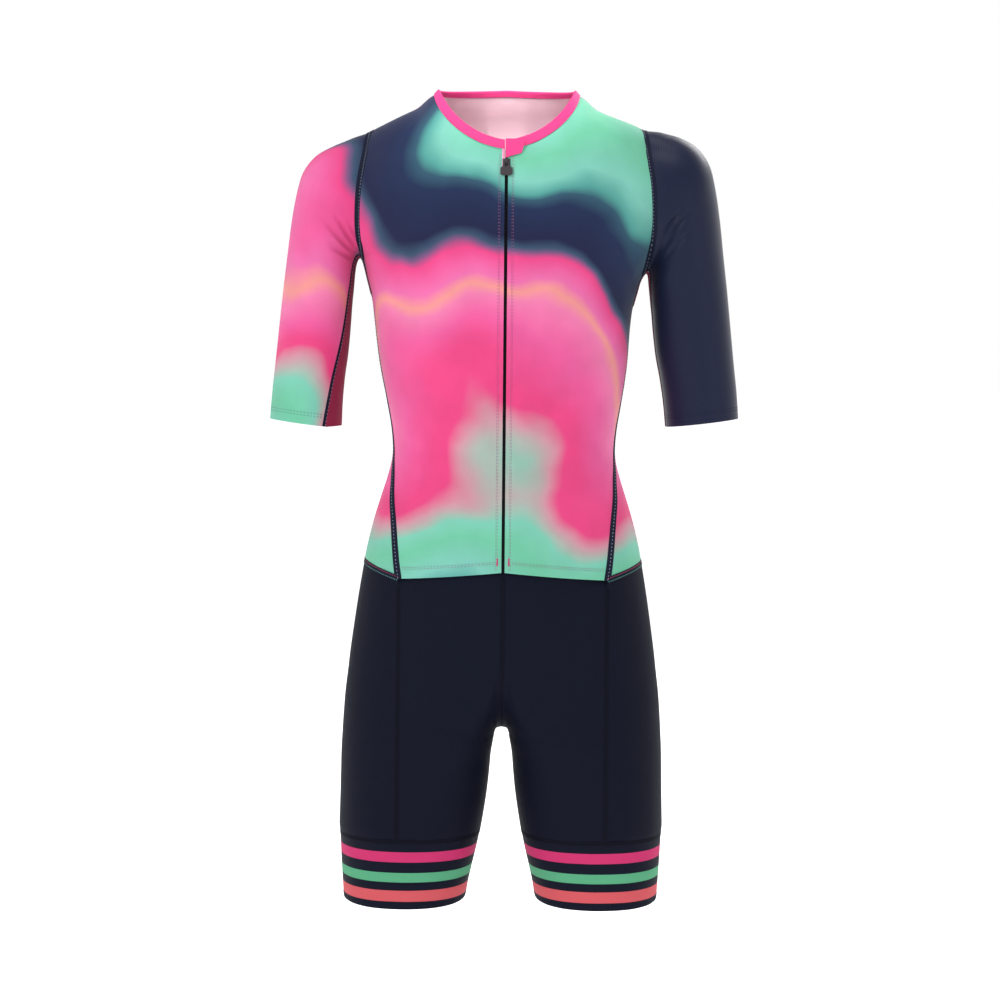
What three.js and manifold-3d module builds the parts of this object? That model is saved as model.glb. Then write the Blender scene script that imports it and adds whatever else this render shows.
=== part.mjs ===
// Women's triathlon suit, filled out as it is when worn: a zip-front printed top with set-in
// sleeves, whose front hem hangs free over plain shorts with a band at each leg.
// Millimetres, +Z up, the front faces -Y and +X is the wearer's left. The origin lies between
// the shoulders, where the wearer holds the suit.
import * as THREE from 'three';
import { mergeVertices } from 'three/addons/utils/BufferGeometryUtils.js';
import Module from 'manifold-3d';

// Driving dimensions
const clothThickness = 1.3;
const seamGap = 0.3;
const sectionPower = 2.3;       // roundness of the body's sections, 2 would be an ellipse
const zipGap = 3.4;             // between the two front edges
const armholeTop = 3;           // height of the shoulder tip
const armholeBottom = -141;     // height of the armpit
const armholeSteps = 30;        // points round an armhole
const neckPointX = 76;          // where the shoulder seam meets the neck
const neckPointZ = 34.5;
const neckFrontZ = -27;         // cloth edge at the centre front, under the binding
const neckBackZ = 38;
const bindingHeight = 10;
const gussetEndZ = -175;        // short seam that ends the underarm strip on the body
const hemFrontZ = -461;         // free front hem at the zip
const hemCornerZ = -470;        // and at the side seam
const waistSeamSideZ = -456;    // back panel to shorts, at the side
const waistSeamBackZ = -450;
const flapClearance = 2.2;      // free front hem over the shorts
const crotchStartZ = -560;      // where the centre seams begin to curve under
const crotchZ = -633;
const saddleRadius = 8;         // rounding between the legs
const legShiftTopZ = -540;      // between these heights the ovals' middle moves out to the legs
const legShiftEndZ = -725;
const bandSeamZ = -744;
const legHemZ = -810;
const sliderZ = -42;            // middle of the zip slider
const pullPivotOut = 2.6;       // pull tab's bar, in front of the cloth
const pullPivotUp = 1.6;        // and above the slider's middle

// The body's level sections: half width, and depth of front and back from the side line
const bodySections = [
  { z: 44, half: 62, front: 50, back: 60 },
  { z: 34.5, half: 76, front: 58, back: 63 },
  { z: 20, half: 102, front: 68, back: 72 },
  { z: 3, half: 143, front: 77, back: 82 },
  { z: -21, half: 157.5, front: 86, back: 90 },
  { z: -42, half: 168.5, front: 92, back: 95 },
  { z: -64, half: 174, front: 97.5, back: 98 },
  { z: -85, half: 173.5, front: 102, back: 100 },
  { z: -106, half: 168.5, front: 106, back: 101 },
  { z: -122, half: 161, front: 109, back: 101 },
  { z: -134, half: 153.5, front: 111, back: 100 },
  { z: -141, half: 150, front: 112, back: 99.5 },
  { z: -160, half: 145, front: 113.5, back: 98 },
  { z: -180, half: 140, front: 114, back: 96 },
  { z: -201, half: 137.3, front: 113, back: 93 },
  { z: -244, half: 132, front: 105, back: 86 },
  { z: -286, half: 124, front: 95, back: 80 },
  { z: -318, half: 118.6, front: 89, back: 77 },
  { z: -345, half: 118, front: 87.5, back: 77 },
  { z: -371, half: 124, front: 91, back: 82 },
  { z: -392, half: 131, front: 94.5, back: 88 },
  { z: -435, half: 142.6, front: 100, back: 99 },
  { z: -477, half: 150.5, front: 103, back: 109 },
  { z: -541, half: 160, front: 101, back: 116 },
  { z: -583, half: 165, front: 98, back: 114 },
  { z: -625, half: 168.5, front: 95, back: 107 },
  { z: -680, half: 170.5, front: 90, back: 98 },
];

// Where the armhole seam and the side seam run
const armholeSeam = [
  { z: 3, x: 143 },
  { z: -21, x: 146 },
  { z: -64, x: 151.5 },
  { z: -106, x: 152.5 },
  { z: -141, x: 150 },
];
const sideSeam = [
  { z: -175, angle: 89 },
  { z: -300, angle: 84 },
  { z: -345, angle: 80 },
  { z: -371, angle: 72 },
  { z: -413, angle: 62 },
  { z: -470, angle: 54.4 },
];

// Leg sections: inner and outer side, and depth of front and back
const legSections = [
  { z: -560, inner: 8, outer: 162.4, front: 99.8, back: 115.2 },
  { z: -600, inner: 8, outer: 166.7, front: 96.8, back: 111.5 },
  { z: -641, inner: 8, outer: 169.3, front: 93.5, back: 105 },
  { z: -657, inner: 11, outer: 170.1, front: 91.5, back: 102 },
  { z: -689, inner: 13.8, outer: 171, front: 89, back: 98 },
  { z: -710, inner: 16.4, outer: 171.3, front: 87, back: 95 },
  { z: -736, inner: 20.5, outer: 172, front: 85.5, back: 92.5 },
  { z: -744, inner: 22, outer: 171, front: 84, back: 91 },
  { z: -763, inner: 26, outer: 170.1, front: 82.5, back: 88.5 },
  { z: -784, inner: 31, outer: 169, front: 81, back: 86.5 },
  { z: -811, inner: 37, outer: 167, front: 79.5, back: 84.5 },
];

// Sleeve rings from the armhole to the cuff: outer and inner point, and half the depth.
// The left shoulder is squarer, so its outer points stand a little higher.
const sleeveRings = [
  { outerX: 143, outerZ: 3, liftLeft: 0, innerX: 150, innerZ: -141, depth: 56 },
  { outerX: 163, outerZ: -8, liftLeft: 5, innerX: 153, innerZ: -136.5, depth: 57 },
  { outerX: 184, outerZ: -17, liftLeft: 8, innerX: 156.5, innerZ: -138.5, depth: 57 },
  { outerX: 201, outerZ: -27, liftLeft: 8, innerX: 159, innerZ: -146, depth: 56 },
  { outerX: 213.5, outerZ: -43, liftLeft: 7, innerX: 160.3, innerZ: -157, depth: 54.5 },
  { outerX: 220, outerZ: -64, liftLeft: 5, innerX: 161.3, innerZ: -170, depth: 52.5 },
  { outerX: 225.5, outerZ: -95, liftLeft: 2, innerX: 162.8, innerZ: -186, depth: 50 },
  { outerX: 230, outerZ: -132, liftLeft: 0, innerX: 164, innerZ: -204, depth: 47.5 },
  { outerX: 234.5, outerZ: -170, liftLeft: 0, innerX: 165.3, innerZ: -222, depth: 45.5 },
  { outerX: 238.5, outerZ: -208, liftLeft: 0, innerX: 167, innerZ: -240, depth: 44 },
  { outerX: 242.5, outerZ: -246, liftLeft: 0, innerX: 170, innerZ: -262, depth: 43 },
  { outerX: 246, outerZ: -277, liftLeft: 0, innerX: 172, innerZ: -287, depth: 42.5 },
  { outerX: 248, outerZ: -303, liftLeft: 0, innerX: 173, innerZ: -312.5, depth: 42 },
];

// Edges of the underarm strip round the sleeve, in degrees from its outer side over the front
const stripEdges = {
  right: [{ ring: 0, front: 168, back: 204 }, { ring: 5, front: 160, back: 202 },
    { ring: 8, front: 150, back: 198 }, { ring: 12, front: 127, back: 190 }],
  left: [{ ring: 0, front: 168, back: 204 }, { ring: 3, front: 170, back: 214 },
    { ring: 6, front: 182, back: 232 }, { ring: 12, front: 188, back: 250 }],
};

// Smooth reading of a table at a height or ring number: cubic pieces whose slopes are the
// mean slopes of their neighbours
function readTable(table, key, column, at) {
  const rising = table[0][key] < table[table.length - 1][key];
  const rows = rising ? table : [...table].reverse();
  const last = rows.length - 1;
  const where = Math.min(Math.max(at, rows[0][key]), rows[last][key]);
  let i = 0;
  while (i < last - 1 && where > rows[i + 1][key]) i += 1;
  const slope = (a, b) => (rows[b][column] - rows[a][column]) / (rows[b][key] - rows[a][key]);
  const span = rows[i + 1][key] - rows[i][key];
  const t = (where - rows[i][key]) / span;
  const slopeIn = slope(Math.max(i - 1, 0), Math.min(i + 1, last)) * span;
  const slopeOut = slope(i, Math.min(i + 2, last)) * span;
  const a = rows[i][column];
  const b = rows[i + 1][column];
  const t2 = t * t;
  const t3 = t2 * t;
  return a * (2 * t3 - 3 * t2 + 1) + slopeIn * (t3 - 2 * t2 + t) + b * (3 * t2 - 2 * t3)
    + slopeOut * (t3 - t2);
}

const mix = (a, b, t) => a + (b - a) * t;
const radians = (degrees) => degrees * Math.PI / 180;
const steps = (count) => Array.from({ length: count + 1 }, (_, i) => i / count);

// Point of an oval with two depths, at an angle from the front towards the side
function ovalPoint(half, front, back, angle) {
  const depth = Math.cos(angle) > 0 ? front : back;
  const across = Math.abs(Math.sin(angle)) / half;
  const along = Math.abs(Math.cos(angle)) / depth;
  const radius = (across ** sectionPower + along ** sectionPower) ** (-1 / sectionPower);
  return [radius * Math.sin(angle), -radius * Math.cos(angle)];
}

function bodyPoint(z, angle) {
  const half = readTable(bodySections, 'z', 'half', z);
  const front = readTable(bodySections, 'z', 'front', z);
  const back = readTable(bodySections, 'z', 'back', z);
  const [x, y] = ovalPoint(half, front, back, angle);
  return new THREE.Vector3(x, y, z);
}

// Angle at which a level section reaches a given distance from the middle plane
function bodyAngle(z, x, side) {
  const half = readTable(bodySections, 'z', 'half', z);
  const depth = readTable(bodySections, 'z', side, z);
  const share = Math.max(1 - Math.min(x / half, 1) ** sectionPower, 0);
  const y = depth * share ** (1 / sectionPower);
  const angle = Math.atan2(x, y);
  return side === 'front' ? angle : Math.PI - angle;
}

// A wall of cloth: a grid of outer points, thickened inwards along the surface's normals.
// Cells for which keep(i, j) is false are left out, and every free edge gets a rim.
function gridNormals(grid, wraps) {
  const rows = grid.length;
  const columns = grid[0].length;
  const normals = grid.map((row) => row.map(() => new THREE.Vector3()));
  for (let i = 0; i < rows - 1; i += 1) {
    for (let j = 0; j < columns - (wraps ? 0 : 1); j += 1) {
      const k = (j + 1) % columns;
      const down = grid[i + 1][k].clone().sub(grid[i][j]);
      const along = grid[i + 1][j].clone().sub(grid[i][k]);
      const normal = along.cross(down);
      for (const [r, c] of [[i, j], [i, k], [i + 1, j], [i + 1, k]]) normals[r][c].add(normal);
    }
  }
  for (const row of normals) for (const normal of row) normal.normalize();
  return normals;
}

function clothWall(grid, normals, options = {}) {
  const { wraps = false, keep = () => true, thickness = clothThickness } = options;
  const rows = grid.length;
  const columns = grid[0].length;
  const across = wraps ? columns : columns - 1;
  const positions = [];
  const outer = (i, j) => i * columns + (j % columns);
  const inner = (i, j) => rows * columns + outer(i, j);
  grid.forEach((row) => row.forEach((point) => positions.push(point.x, point.y, point.z)));
  grid.forEach((row, i) => row.forEach((point, j) => {
    const deep = point.clone().addScaledVector(normals[i][j], -thickness);
    positions.push(deep.x, deep.y, deep.z);
  }));
  const kept = (i, j) => {
    const column = wraps ? (j + columns) % columns : j;
    return i >= 0 && i < rows - 1 && column >= 0 && column < across && keep(i, column);
  };
  const index = [];
  const quad = (a, b, c, d) => index.push(a, b, c, a, c, d);
  for (let i = 0; i < rows - 1; i += 1) {
    for (let j = 0; j < across; j += 1) {
      if (kept(i, j)) {
        quad(outer(i, j), outer(i + 1, j), outer(i + 1, j + 1), outer(i, j + 1));
        quad(inner(i, j), inner(i, j + 1), inner(i + 1, j + 1), inner(i + 1, j));
        if (!kept(i - 1, j)) quad(outer(i, j), outer(i, j + 1), inner(i, j + 1), inner(i, j));
        if (!kept(i + 1, j)) {
          quad(outer(i + 1, j + 1), outer(i + 1, j), inner(i + 1, j), inner(i + 1, j + 1));
        }
        if (!kept(i, j - 1)) quad(outer(i + 1, j), outer(i, j), inner(i, j), inner(i + 1, j));
        if (!kept(i, j + 1)) {
          quad(outer(i, j + 1), outer(i + 1, j + 1), inner(i + 1, j + 1), inner(i, j + 1));
        }
      }
    }
  }
  const geometry = new THREE.BufferGeometry();
  geometry.setAttribute('position', new THREE.Float32BufferAttribute(positions, 3));
  geometry.setIndex(index);
  return geometry.toNonIndexed();
}

// Grid and normals of the other half of the suit
function mirrored(geometry) {
  const copy = geometry.clone();
  const place = copy.attributes.position;
  for (let i = 0; i < place.count; i += 3) {
    for (let k = 0; k < 3; k += 1) place.setX(i + k, -place.getX(i + k));
    const keepX = place.getX(i + 1);
    const keepY = place.getY(i + 1);
    const keepZ = place.getZ(i + 1);
    place.setXYZ(i + 1, place.getX(i + 2), place.getY(i + 2), place.getZ(i + 2));
    place.setXYZ(i + 2, keepX, keepY, keepZ);
  }
  return copy;
}

// Moves one border of a grid towards the inside, to leave a seam's gap
function insetBorder(grid, border, from, to) {
  const shift = (point, next) => {
    const step = next.clone().sub(point);
    point.addScaledVector(step.normalize(), seamGap);
  };
  const lastRow = grid.length - 1;
  const lastColumn = grid[0].length - 1;
  for (let k = from; k <= to; k += 1) {
    if (border === 'top') shift(grid[0][k], grid[1][k]);
    if (border === 'bottom') shift(grid[lastRow][k], grid[lastRow - 1][k]);
    if (border === 'first') shift(grid[k][0], grid[k][1]);
    if (border === 'last') shift(grid[k][lastColumn], grid[k][lastColumn - 1]);
  }
}

// The body's surface at a spot { z, angle }, and its outward normal
const spotPoint = (spot) => bodyPoint(spot.z, spot.angle);
function spotNormal(spot) {
  const reach = 1.5;
  const turn = radians(1);
  const down = bodyPoint(spot.z - reach, spot.angle).sub(bodyPoint(spot.z + reach, spot.angle));
  const along = bodyPoint(spot.z, spot.angle + turn).sub(bodyPoint(spot.z, spot.angle - turn));
  return down.cross(along).normalize();
}
const mixSpots = (a, b, t) => ({ z: mix(a.z, b.z, t), angle: mix(a.angle, b.angle, t) });

// Patch of spots between four border curves, by Coons' formula
function patchSpot(top, bottom, left, right, u, v) {
  const spot = {};
  for (const key of ['z', 'angle']) {
    spot[key] = mix(top(u)[key], bottom(u)[key], v) + mix(left(v)[key], right(v)[key], u)
      - mix(mix(top(0)[key], top(1)[key], u), mix(bottom(0)[key], bottom(1)[key], u), v);
  }
  return spot;
}

// The armhole, counted from the shoulder tip over the front to the armpit and up the back
function armholeSpot(k) {
  const turn = 2 * Math.PI * k / armholeSteps;
  const middle = (armholeTop + armholeBottom) / 2;
  const z = middle + (armholeTop - middle) * Math.cos(turn);
  const side = k <= armholeSteps / 2 ? 'front' : 'back';
  return { z, angle: bodyAngle(z, readTable(armholeSeam, 'z', 'x', z), side) };
}
const stripFront = 14;          // armhole points where the underarm strip begins and ends
const stripBack = 17;
const gussetFront = { z: gussetEndZ, angle: radians(84.3) };
const gussetBack = { z: gussetEndZ, angle: radians(97.3) };
const sideSeamAngle = (z) => radians(readTable(sideSeam, 'z', 'angle', z));

// Neckline of the cloth, from the neck point to the zip
const neckPower = 1.7;
function necklineSpot(v) {
  const turn = (Math.PI / 2) * (1 - v ** neckPower);
  const x = Math.max(neckPointX * Math.sin(turn) ** (2 / neckPower), zipGap / 2);
  const z = neckPointZ - (neckPointZ - neckFrontZ) * Math.cos(turn) ** (2 / neckPower);
  return { z, angle: bodyAngle(z, x, 'front') };
}

// Front: 6 rows up to the shoulder, then to the armpit, past the underarm strip and to the hem
const yokeRows = 6;
const gussetRows = 4;
const lowRows = 16;
const frontColumns = 8;         // from the zip to the armhole, one more reaches the side seam
function frontSpots() {
  const rows = [];
  const shoulder = (u) => ({ z: mix(neckPointZ, armholeTop, u), angle: Math.PI / 2 });
  const bottomEdge = armholeSpot(yokeRows);
  const bottom = (u) => mixSpots(necklineSpot(1), bottomEdge, u);
  const armhole = (v) => armholeSpot(v * yokeRows);
  for (let i = 0; i < yokeRows; i += 1) {
    rows.push(steps(frontColumns)
      .map((u) => patchSpot(shoulder, bottom, necklineSpot, armhole, u, i / yokeRows)));
  }
  const levelRows = stripFront - yokeRows + gussetRows;
  for (let i = 0; i <= levelRows; i += 1) {
    const k = yokeRows + i;
    const edge = k <= stripFront ? armholeSpot(k)
      : mixSpots(armholeSpot(stripFront), gussetFront, (k - stripFront) / gussetRows);
    const z = mix(neckFrontZ, gussetEndZ, i / levelRows);
    const middle = { z, angle: bodyAngle(z, zipGap / 2, 'front') };
    rows.push(steps(frontColumns).map((u) => mixSpots(middle, edge, u)));
  }
  rows.forEach((row) => row.push(row[frontColumns]));
  const gussetRow = rows[rows.length - 1];
  gussetRow[frontColumns + 1] = { z: gussetEndZ, angle: sideSeamAngle(gussetEndZ) };
  for (let i = 1; i <= lowRows; i += 1) {
    const edgeZ = mix(gussetEndZ, hemCornerZ, i / lowRows);
    const middleZ = mix(gussetEndZ, hemFrontZ, i / lowRows);
    const edge = { z: edgeZ, angle: sideSeamAngle(edgeZ) };
    const middle = { z: middleZ, angle: bodyAngle(middleZ, zipGap / 2, 'front') };
    const evened = Math.min(i / 5, 1);
    const firstShare = (gussetFront.angle - middle.angle) / (edge.angle - middle.angle);
    const share = mix(Math.min(firstShare, 0.97), frontColumns / (frontColumns + 1), evened);
    const row = steps(frontColumns).map((u) => mixSpots(middle, edge, u * share));
    row.push(edge);
    rows.push(row);
  }
  return rows;
}

// Back, the left half: from the side seam and the armhole to the centre back
const backColumns = 10;
const neckColumn = 5;           // column that starts at the neck point
function backSpots() {
  const across = backColumns - 1;
  const neckShare = (neckColumn - 1) / across;
  const centre = (z) => ({ z, angle: Math.PI });
  const neckPoint = { z: neckPointZ, angle: Math.PI / 2 };
  const tip = { z: armholeTop, angle: Math.PI / 2 };
  const top = (u) => (u <= neckShare ? mixSpots(tip, neckPoint, u / neckShare)
    : mixSpots(neckPoint, centre(neckBackZ), (u - neckShare) / (1 - neckShare)));
  const yokeZ = -40;
  const bottomEdge = armholeSpot(armholeSteps - yokeRows);
  const bottom = (u) => mixSpots(bottomEdge, centre(yokeZ), u);
  const armhole = (v) => (v === 0 ? tip : armholeSpot(armholeSteps - v * yokeRows));
  const middle = (v) => centre(mix(neckBackZ, yokeZ, v));
  const rows = [];
  for (let i = 0; i < yokeRows; i += 1) {
    rows.push(steps(across).map((u) => patchSpot(top, bottom, armhole, middle, u, i / yokeRows)));
  }
  const lastArmhole = armholeSteps - stripBack;
  const levelRows = lastArmhole - yokeRows + gussetRows;
  for (let i = 0; i <= levelRows; i += 1) {
    const k = yokeRows + i;
    const edge = k <= lastArmhole ? armholeSpot(armholeSteps - k)
      : mixSpots(armholeSpot(stripBack), gussetBack, (k - lastArmhole) / gussetRows);
    rows.push(steps(across).map((u) => mixSpots(edge, centre(mix(yokeZ, gussetEndZ, i / levelRows)), u)));
  }
  rows.forEach((row) => row.unshift(row[0]));
  rows[rows.length - 1][0] = { z: gussetEndZ, angle: sideSeamAngle(gussetEndZ) };
  for (let i = 1; i <= lowRows; i += 1) {
    const edgeZ = mix(gussetEndZ, hemCornerZ, i / lowRows);
    const edge = { z: edgeZ, angle: sideSeamAngle(edgeZ) };
    const evened = Math.min(i / 5, 1);
    const firstShare = (gussetBack.angle - edge.angle) / (Math.PI - edge.angle);
    const share = mix(firstShare, 1 / backColumns, evened);
    const row = steps(across).map((u) => {
      const angle = mix(edge.angle, Math.PI, share + u * (1 - share));
      return { z: mix(gussetEndZ, waistSeamZ(angle), i / lowRows), angle };
    });
    row.unshift(edge);
    rows.push(row);
  }
  return rows;
}

// Height of the seam between back panel and shorts, rising from the hem's corner to the back
function waistSeamZ(angle) {
  const corner = sideSeamAngle(hemCornerZ);
  const side = Math.PI / 2;
  if (angle <= side) {
    const t = (angle - corner) / (side - corner);
    return mix(hemCornerZ, waistSeamSideZ, Math.sin(Math.max(t, 0) * Math.PI / 2));
  }
  return mix(waistSeamSideZ, waistSeamBackZ, (angle - side) / side);
}

const gridOf = (spots) => spots.map((row) => row.map(spotPoint));
const normalsOf = (spots) => spots.map((row) => row.map(spotNormal));

function frontPanel() {
  const spots = frontSpots();
  const gussetRow = stripFront + gussetRows;
  const keep = (i, j) => j < frontColumns || i >= gussetRow;
  return clothWall(gridOf(spots), normalsOf(spots), { keep });
}

function backPanel() {
  const half = backSpots();
  const gussetRow = armholeSteps - stripBack + gussetRows;
  const columns = 2 * backColumns + 1;
  const whole = (rows) => rows.map((row) => {
    const other = row.slice(0, backColumns).reverse();
    return [...row, ...other.map((point) => new THREE.Vector3(-point.x, point.y, point.z))];
  });
  const grid = whole(gridOf(half));
  const normals = whole(normalsOf(half));
  insetBorder(grid, 'top', 1, neckColumn);
  insetBorder(grid, 'top', columns - 1 - neckColumn, columns - 2);
  insetBorder(grid, 'first', gussetRow, grid.length - 1);
  insetBorder(grid, 'last', gussetRow, grid.length - 1);
  const keep = (i, j) => i >= gussetRow || (j > 0 && j < columns - 2);
  return clothWall(grid, normals, { keep });
}

// Sleeve rings are laid out on the wearer's right, the left sleeve is mirrored afterwards
const armholeFade = [1, 0.75, 0.45, 0.2];
function sleeveGrid(side) {
  const rings = sleeveRings.map((row, i) => ({ ...row, ring: i }));
  return rings.map((row) => {
    const lift = side === 'left' ? row.liftLeft : 0;
    const front = readTable(stripEdges[side], 'ring', 'front', row.ring);
    const back = readTable(stripEdges[side], 'ring', 'back', row.ring);
    const fade = armholeFade[row.ring] ?? 0;
    return Array.from({ length: armholeSteps }, (_, k) => {
      const place = (turn) => {
        const outwards = (1 + Math.cos(turn)) / 2;
        const x = mix(row.innerX, row.outerX, outwards);
        const z = mix(row.innerZ, row.outerZ + lift, outwards);
        return new THREE.Vector3(-x, -row.depth * Math.sin(turn), z);
      };
      let turn = front * k / stripFront;
      if (k > stripFront) turn = mix(front, back, (k - stripFront) / (stripBack - stripFront));
      if (k > stripBack) turn = mix(back, 360, (k - stripBack) / (armholeSteps - stripBack));
      const point = place(radians(turn));
      if (fade > 0) {
        const seam = spotPoint(armholeSpot(k));
        seam.x *= -1;
        const first = sleeveRings[0];
        const even = 2 * Math.PI * k / armholeSteps;
        const outwards = (1 + Math.cos(even)) / 2;
        seam.x += mix(first.innerX, first.outerX, outwards);
        seam.y += first.depth * Math.sin(even);
        seam.z -= mix(first.innerZ, first.outerZ, outwards);
        point.addScaledVector(seam, fade);
      }
      return point;
    });
  });
}

function sleevePanel(side) {
  const grid = sleeveGrid(side);
  const normals = gridNormals(grid, true);
  insetBorder(grid, 'top', 0, armholeSteps - 1);
  return clothWall(grid, normals, { wraps: true, keep: (i, j) => j < stripFront || j >= stripBack });
}

// Strip from just down the side of the body, through the armpit, along the sleeve to the cuff
function underarmStrip(side) {
  const sleeve = sleeveGrid(side);
  const sleeveNormals = gridNormals(sleeve, true);
  const columns = [];
  for (let k = stripFront; k <= stripBack; k += 1) columns.push(k);
  const spotAt = (k, t) => {
    const share = (k - stripFront) / (stripBack - stripFront);
    const end = mixSpots(gussetFront, gussetBack, share);
    return mixSpots(armholeSpot(k), end, t);
  };
  const grid = [];
  const normals = [];
  const flip = (v) => new THREE.Vector3(-v.x, v.y, v.z);
  for (let i = gussetRows; i >= 1; i -= 1) {
    grid.push(columns.map((k) => flip(spotPoint(spotAt(k, i / gussetRows)))));
    normals.push(columns.map((k) => flip(spotNormal(spotAt(k, i / gussetRows)))));
  }
  sleeve.forEach((row, i) => {
    grid.push(columns.map((k) => row[k].clone()));
    normals.push(columns.map((k) => {
      const normal = sleeveNormals[i][k].clone();
      if (i === 0) normal.add(flip(spotNormal(armholeSpot(k)))).normalize();
      return normal;
    }));
  });
  insetBorder(grid, 'first', 0, grid.length - 1);
  insetBorder(grid, 'last', 0, grid.length - 1);
  insetBorder(grid, 'top', 0, columns.length - 1);
  return clothWall(grid, normals);
}

// Shorts, the left half, from the centre front round the side to the centre back. The first
// and last columns round over between the legs.
const archColumns = 2;
const seamColumn = 8;
const lastColumn = 24;
const pelvisLevels = [-478, -496, -514, -532, -546, crotchStartZ];
const underSteps = 6;
const legLevels = [-650, -662, -680, -700, -719, -736, bandSeamZ];

const seamX = bodyPoint(hemCornerZ, sideSeamAngle(hemCornerZ)).x;

// The oval at a height: its middle moves out from the body's middle to the leg's
function ringShape(z) {
  const isHip = z > crotchStartZ;
  const table = isHip ? bodySections : legSections;
  const outer = readTable(table, 'z', isHip ? 'half' : 'outer', z);
  const front = readTable(table, 'z', 'front', z);
  const back = readTable(table, 'z', 'back', z);
  const inner = readTable(legSections, 'z', 'inner', z);
  const t = Math.min(Math.max((legShiftTopZ - z) / (legShiftTopZ - legShiftEndZ), 0), 1);
  const centre = (inner + outer) / 2 * t * t * (3 - 2 * t);
  return { centre, inner, outer, front, back };
}

// Point of the ring in a column. Its two ends turn in between the legs as under goes to 1.
function ringPoint(z, under, column) {
  const { centre, inner, outer, front, back } = ringShape(z);
  const half = outer - centre;
  const archEnd = lastColumn - archColumns;
  const frontEnd = mix(Math.atan2(saddleRadius - centre, front), -Math.PI / 2, under);
  const backEnd = mix(Math.PI - Math.atan2(saddleRadius - centre, back), 1.5 * Math.PI, under);
  const seamShare = 1 - ((seamX - centre) / half) ** sectionPower;
  const seam = Math.atan2(seamX - centre, front * seamShare ** (1 / sectionPower));
  const angle = column <= seamColumn
    ? mix(frontEnd, seam, (column - archColumns) / (seamColumn - archColumns))
    : mix(seam, backEnd, (column - seamColumn) / (archEnd - seamColumn));
  const [x, y] = ovalPoint(half, front, back, angle);
  if (Math.sin(angle) >= 0) return new THREE.Vector3(centre + x, y, z);
  const [xEnd] = ovalPoint(half, front, back, column < seamColumn ? frontEnd : backEnd);
  return new THREE.Vector3(centre - (centre - inner) * x / xEnd, y, z);
}

function shortsPoint(level, column) {
  const fromEdge = Math.min(column, lastColumn - column);
  const inside = Math.min(Math.max(column, archColumns), lastColumn - archColumns);
  const ring = ringPoint(level.z, level.under, inside);
  if (fromEdge >= archColumns || level.isLeg) return ring;
  const turn = (Math.PI / 2) * fromEdge / archColumns;
  const side = column < seamColumn ? 'front' : 'back';
  const depth = ringShape(level.z)[side] * (side === 'front' ? -1 : 1);
  const y = mix(depth * Math.cos(level.under * Math.PI / 2), ring.y, Math.sin(turn));
  const z = mix(level.seamZ, level.z, 1 - Math.cos(turn));
  return new THREE.Vector3(Math.max(ring.x * Math.sin(turn), seamGap / 2), y, z);
}

function lowerLevels() {
  const levels = pelvisLevels.map((z) => ({ z, seamZ: z, under: 0 }));
  for (let i = 1; i <= underSteps; i += 1) {
    const under = i / underSteps;
    const turn = (Math.PI / 2) * under;
    const seamZ = crotchStartZ + (crotchZ - crotchStartZ) * Math.sin(turn);
    levels.push({ z: seamZ - saddleRadius * (1 - Math.cos(turn)), seamZ, under });
  }
  for (const z of legLevels) levels.push({ z, seamZ: z, under: 1, isLeg: true });
  return levels;
}

// Under the free front hem the shorts lie inside the cloth by a clearance, which fades below it
const flapLevels = [-415, -440, -466];
const flapInset = clothThickness + flapClearance;
const hemFades = [0.9, 0.6, 0.3, 0.1];

function shortsGrids() {
  const levels = lowerLevels();
  const grid = levels.map((level) => {
    return Array.from({ length: lastColumn + 1 }, (_, j) => shortsPoint(level, j));
  });
  const archEndRow = levels.length - legLevels.length - 1;
  const normals = gridNormals(grid, false);
  grid.forEach((row, i) => {
    if (i <= archEndRow) {
      for (const j of [0, lastColumn]) {
        normals[i][j].x = 0;
        normals[i][j].normalize();
      }
    }
    if (i >= archEndRow) {
      const seams = i > archEndRow ? [[archColumns, lastColumn - archColumns]]
        : [[0, lastColumn], [1, lastColumn - 1], [archColumns, lastColumn - archColumns]];
      for (const [a, b] of seams) {
        const shared = normals[i][a].clone().add(normals[i][b]);
        shared.y = 0;
        shared.normalize();
        normals[i][a] = shared;
        normals[i][b] = shared.clone();
      }
    }
  });
  return { grid, normals, archEndRow };
}

function shortsFront() {
  const { grid, normals, archEndRow } = shortsGrids();
  const rows = grid.map((row) => row.slice(0, seamColumn + 1));
  const rowNormals = normals.map((row) => row.slice(0, seamColumn + 1));
  hemFades.forEach((share, i) => {
    rows[i].forEach((point, j) => {
      const fade = share * Math.min((seamColumn - j) / 2, 1);
      point.addScaledVector(rowNormals[i][j], -flapInset * fade);
    });
  });
  const above = flapLevels.map((z) => {
    const level = { z, seamZ: z, under: 0 };
    return rows[0].map((_, j) => {
      const point = shortsPoint(level, j);
      const normal = spotNormal({ z, angle: Math.atan2(point.x, -point.y) });
      return { point: point.addScaledVector(normal, -flapInset), normal };
    });
  });
  const fullRows = [...above.map((row) => row.map((item) => item.point)), ...rows];
  const fullNormals = [...above.map((row) => row.map((item) => item.normal)), ...rowNormals];
  fullRows.forEach((row, i) => {
    if (i < flapLevels.length + archEndRow) row[0].x = seamGap / 2;
  });
  for (let i = 0; i < flapLevels.length; i += 1) {
    fullNormals[i][0].x = 0;
    fullNormals[i][0].normalize();
  }
  const keep = (i, j) => j >= archColumns || i < flapLevels.length + archEndRow;
  return clothWall(fullRows, fullNormals, { keep });
}

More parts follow.
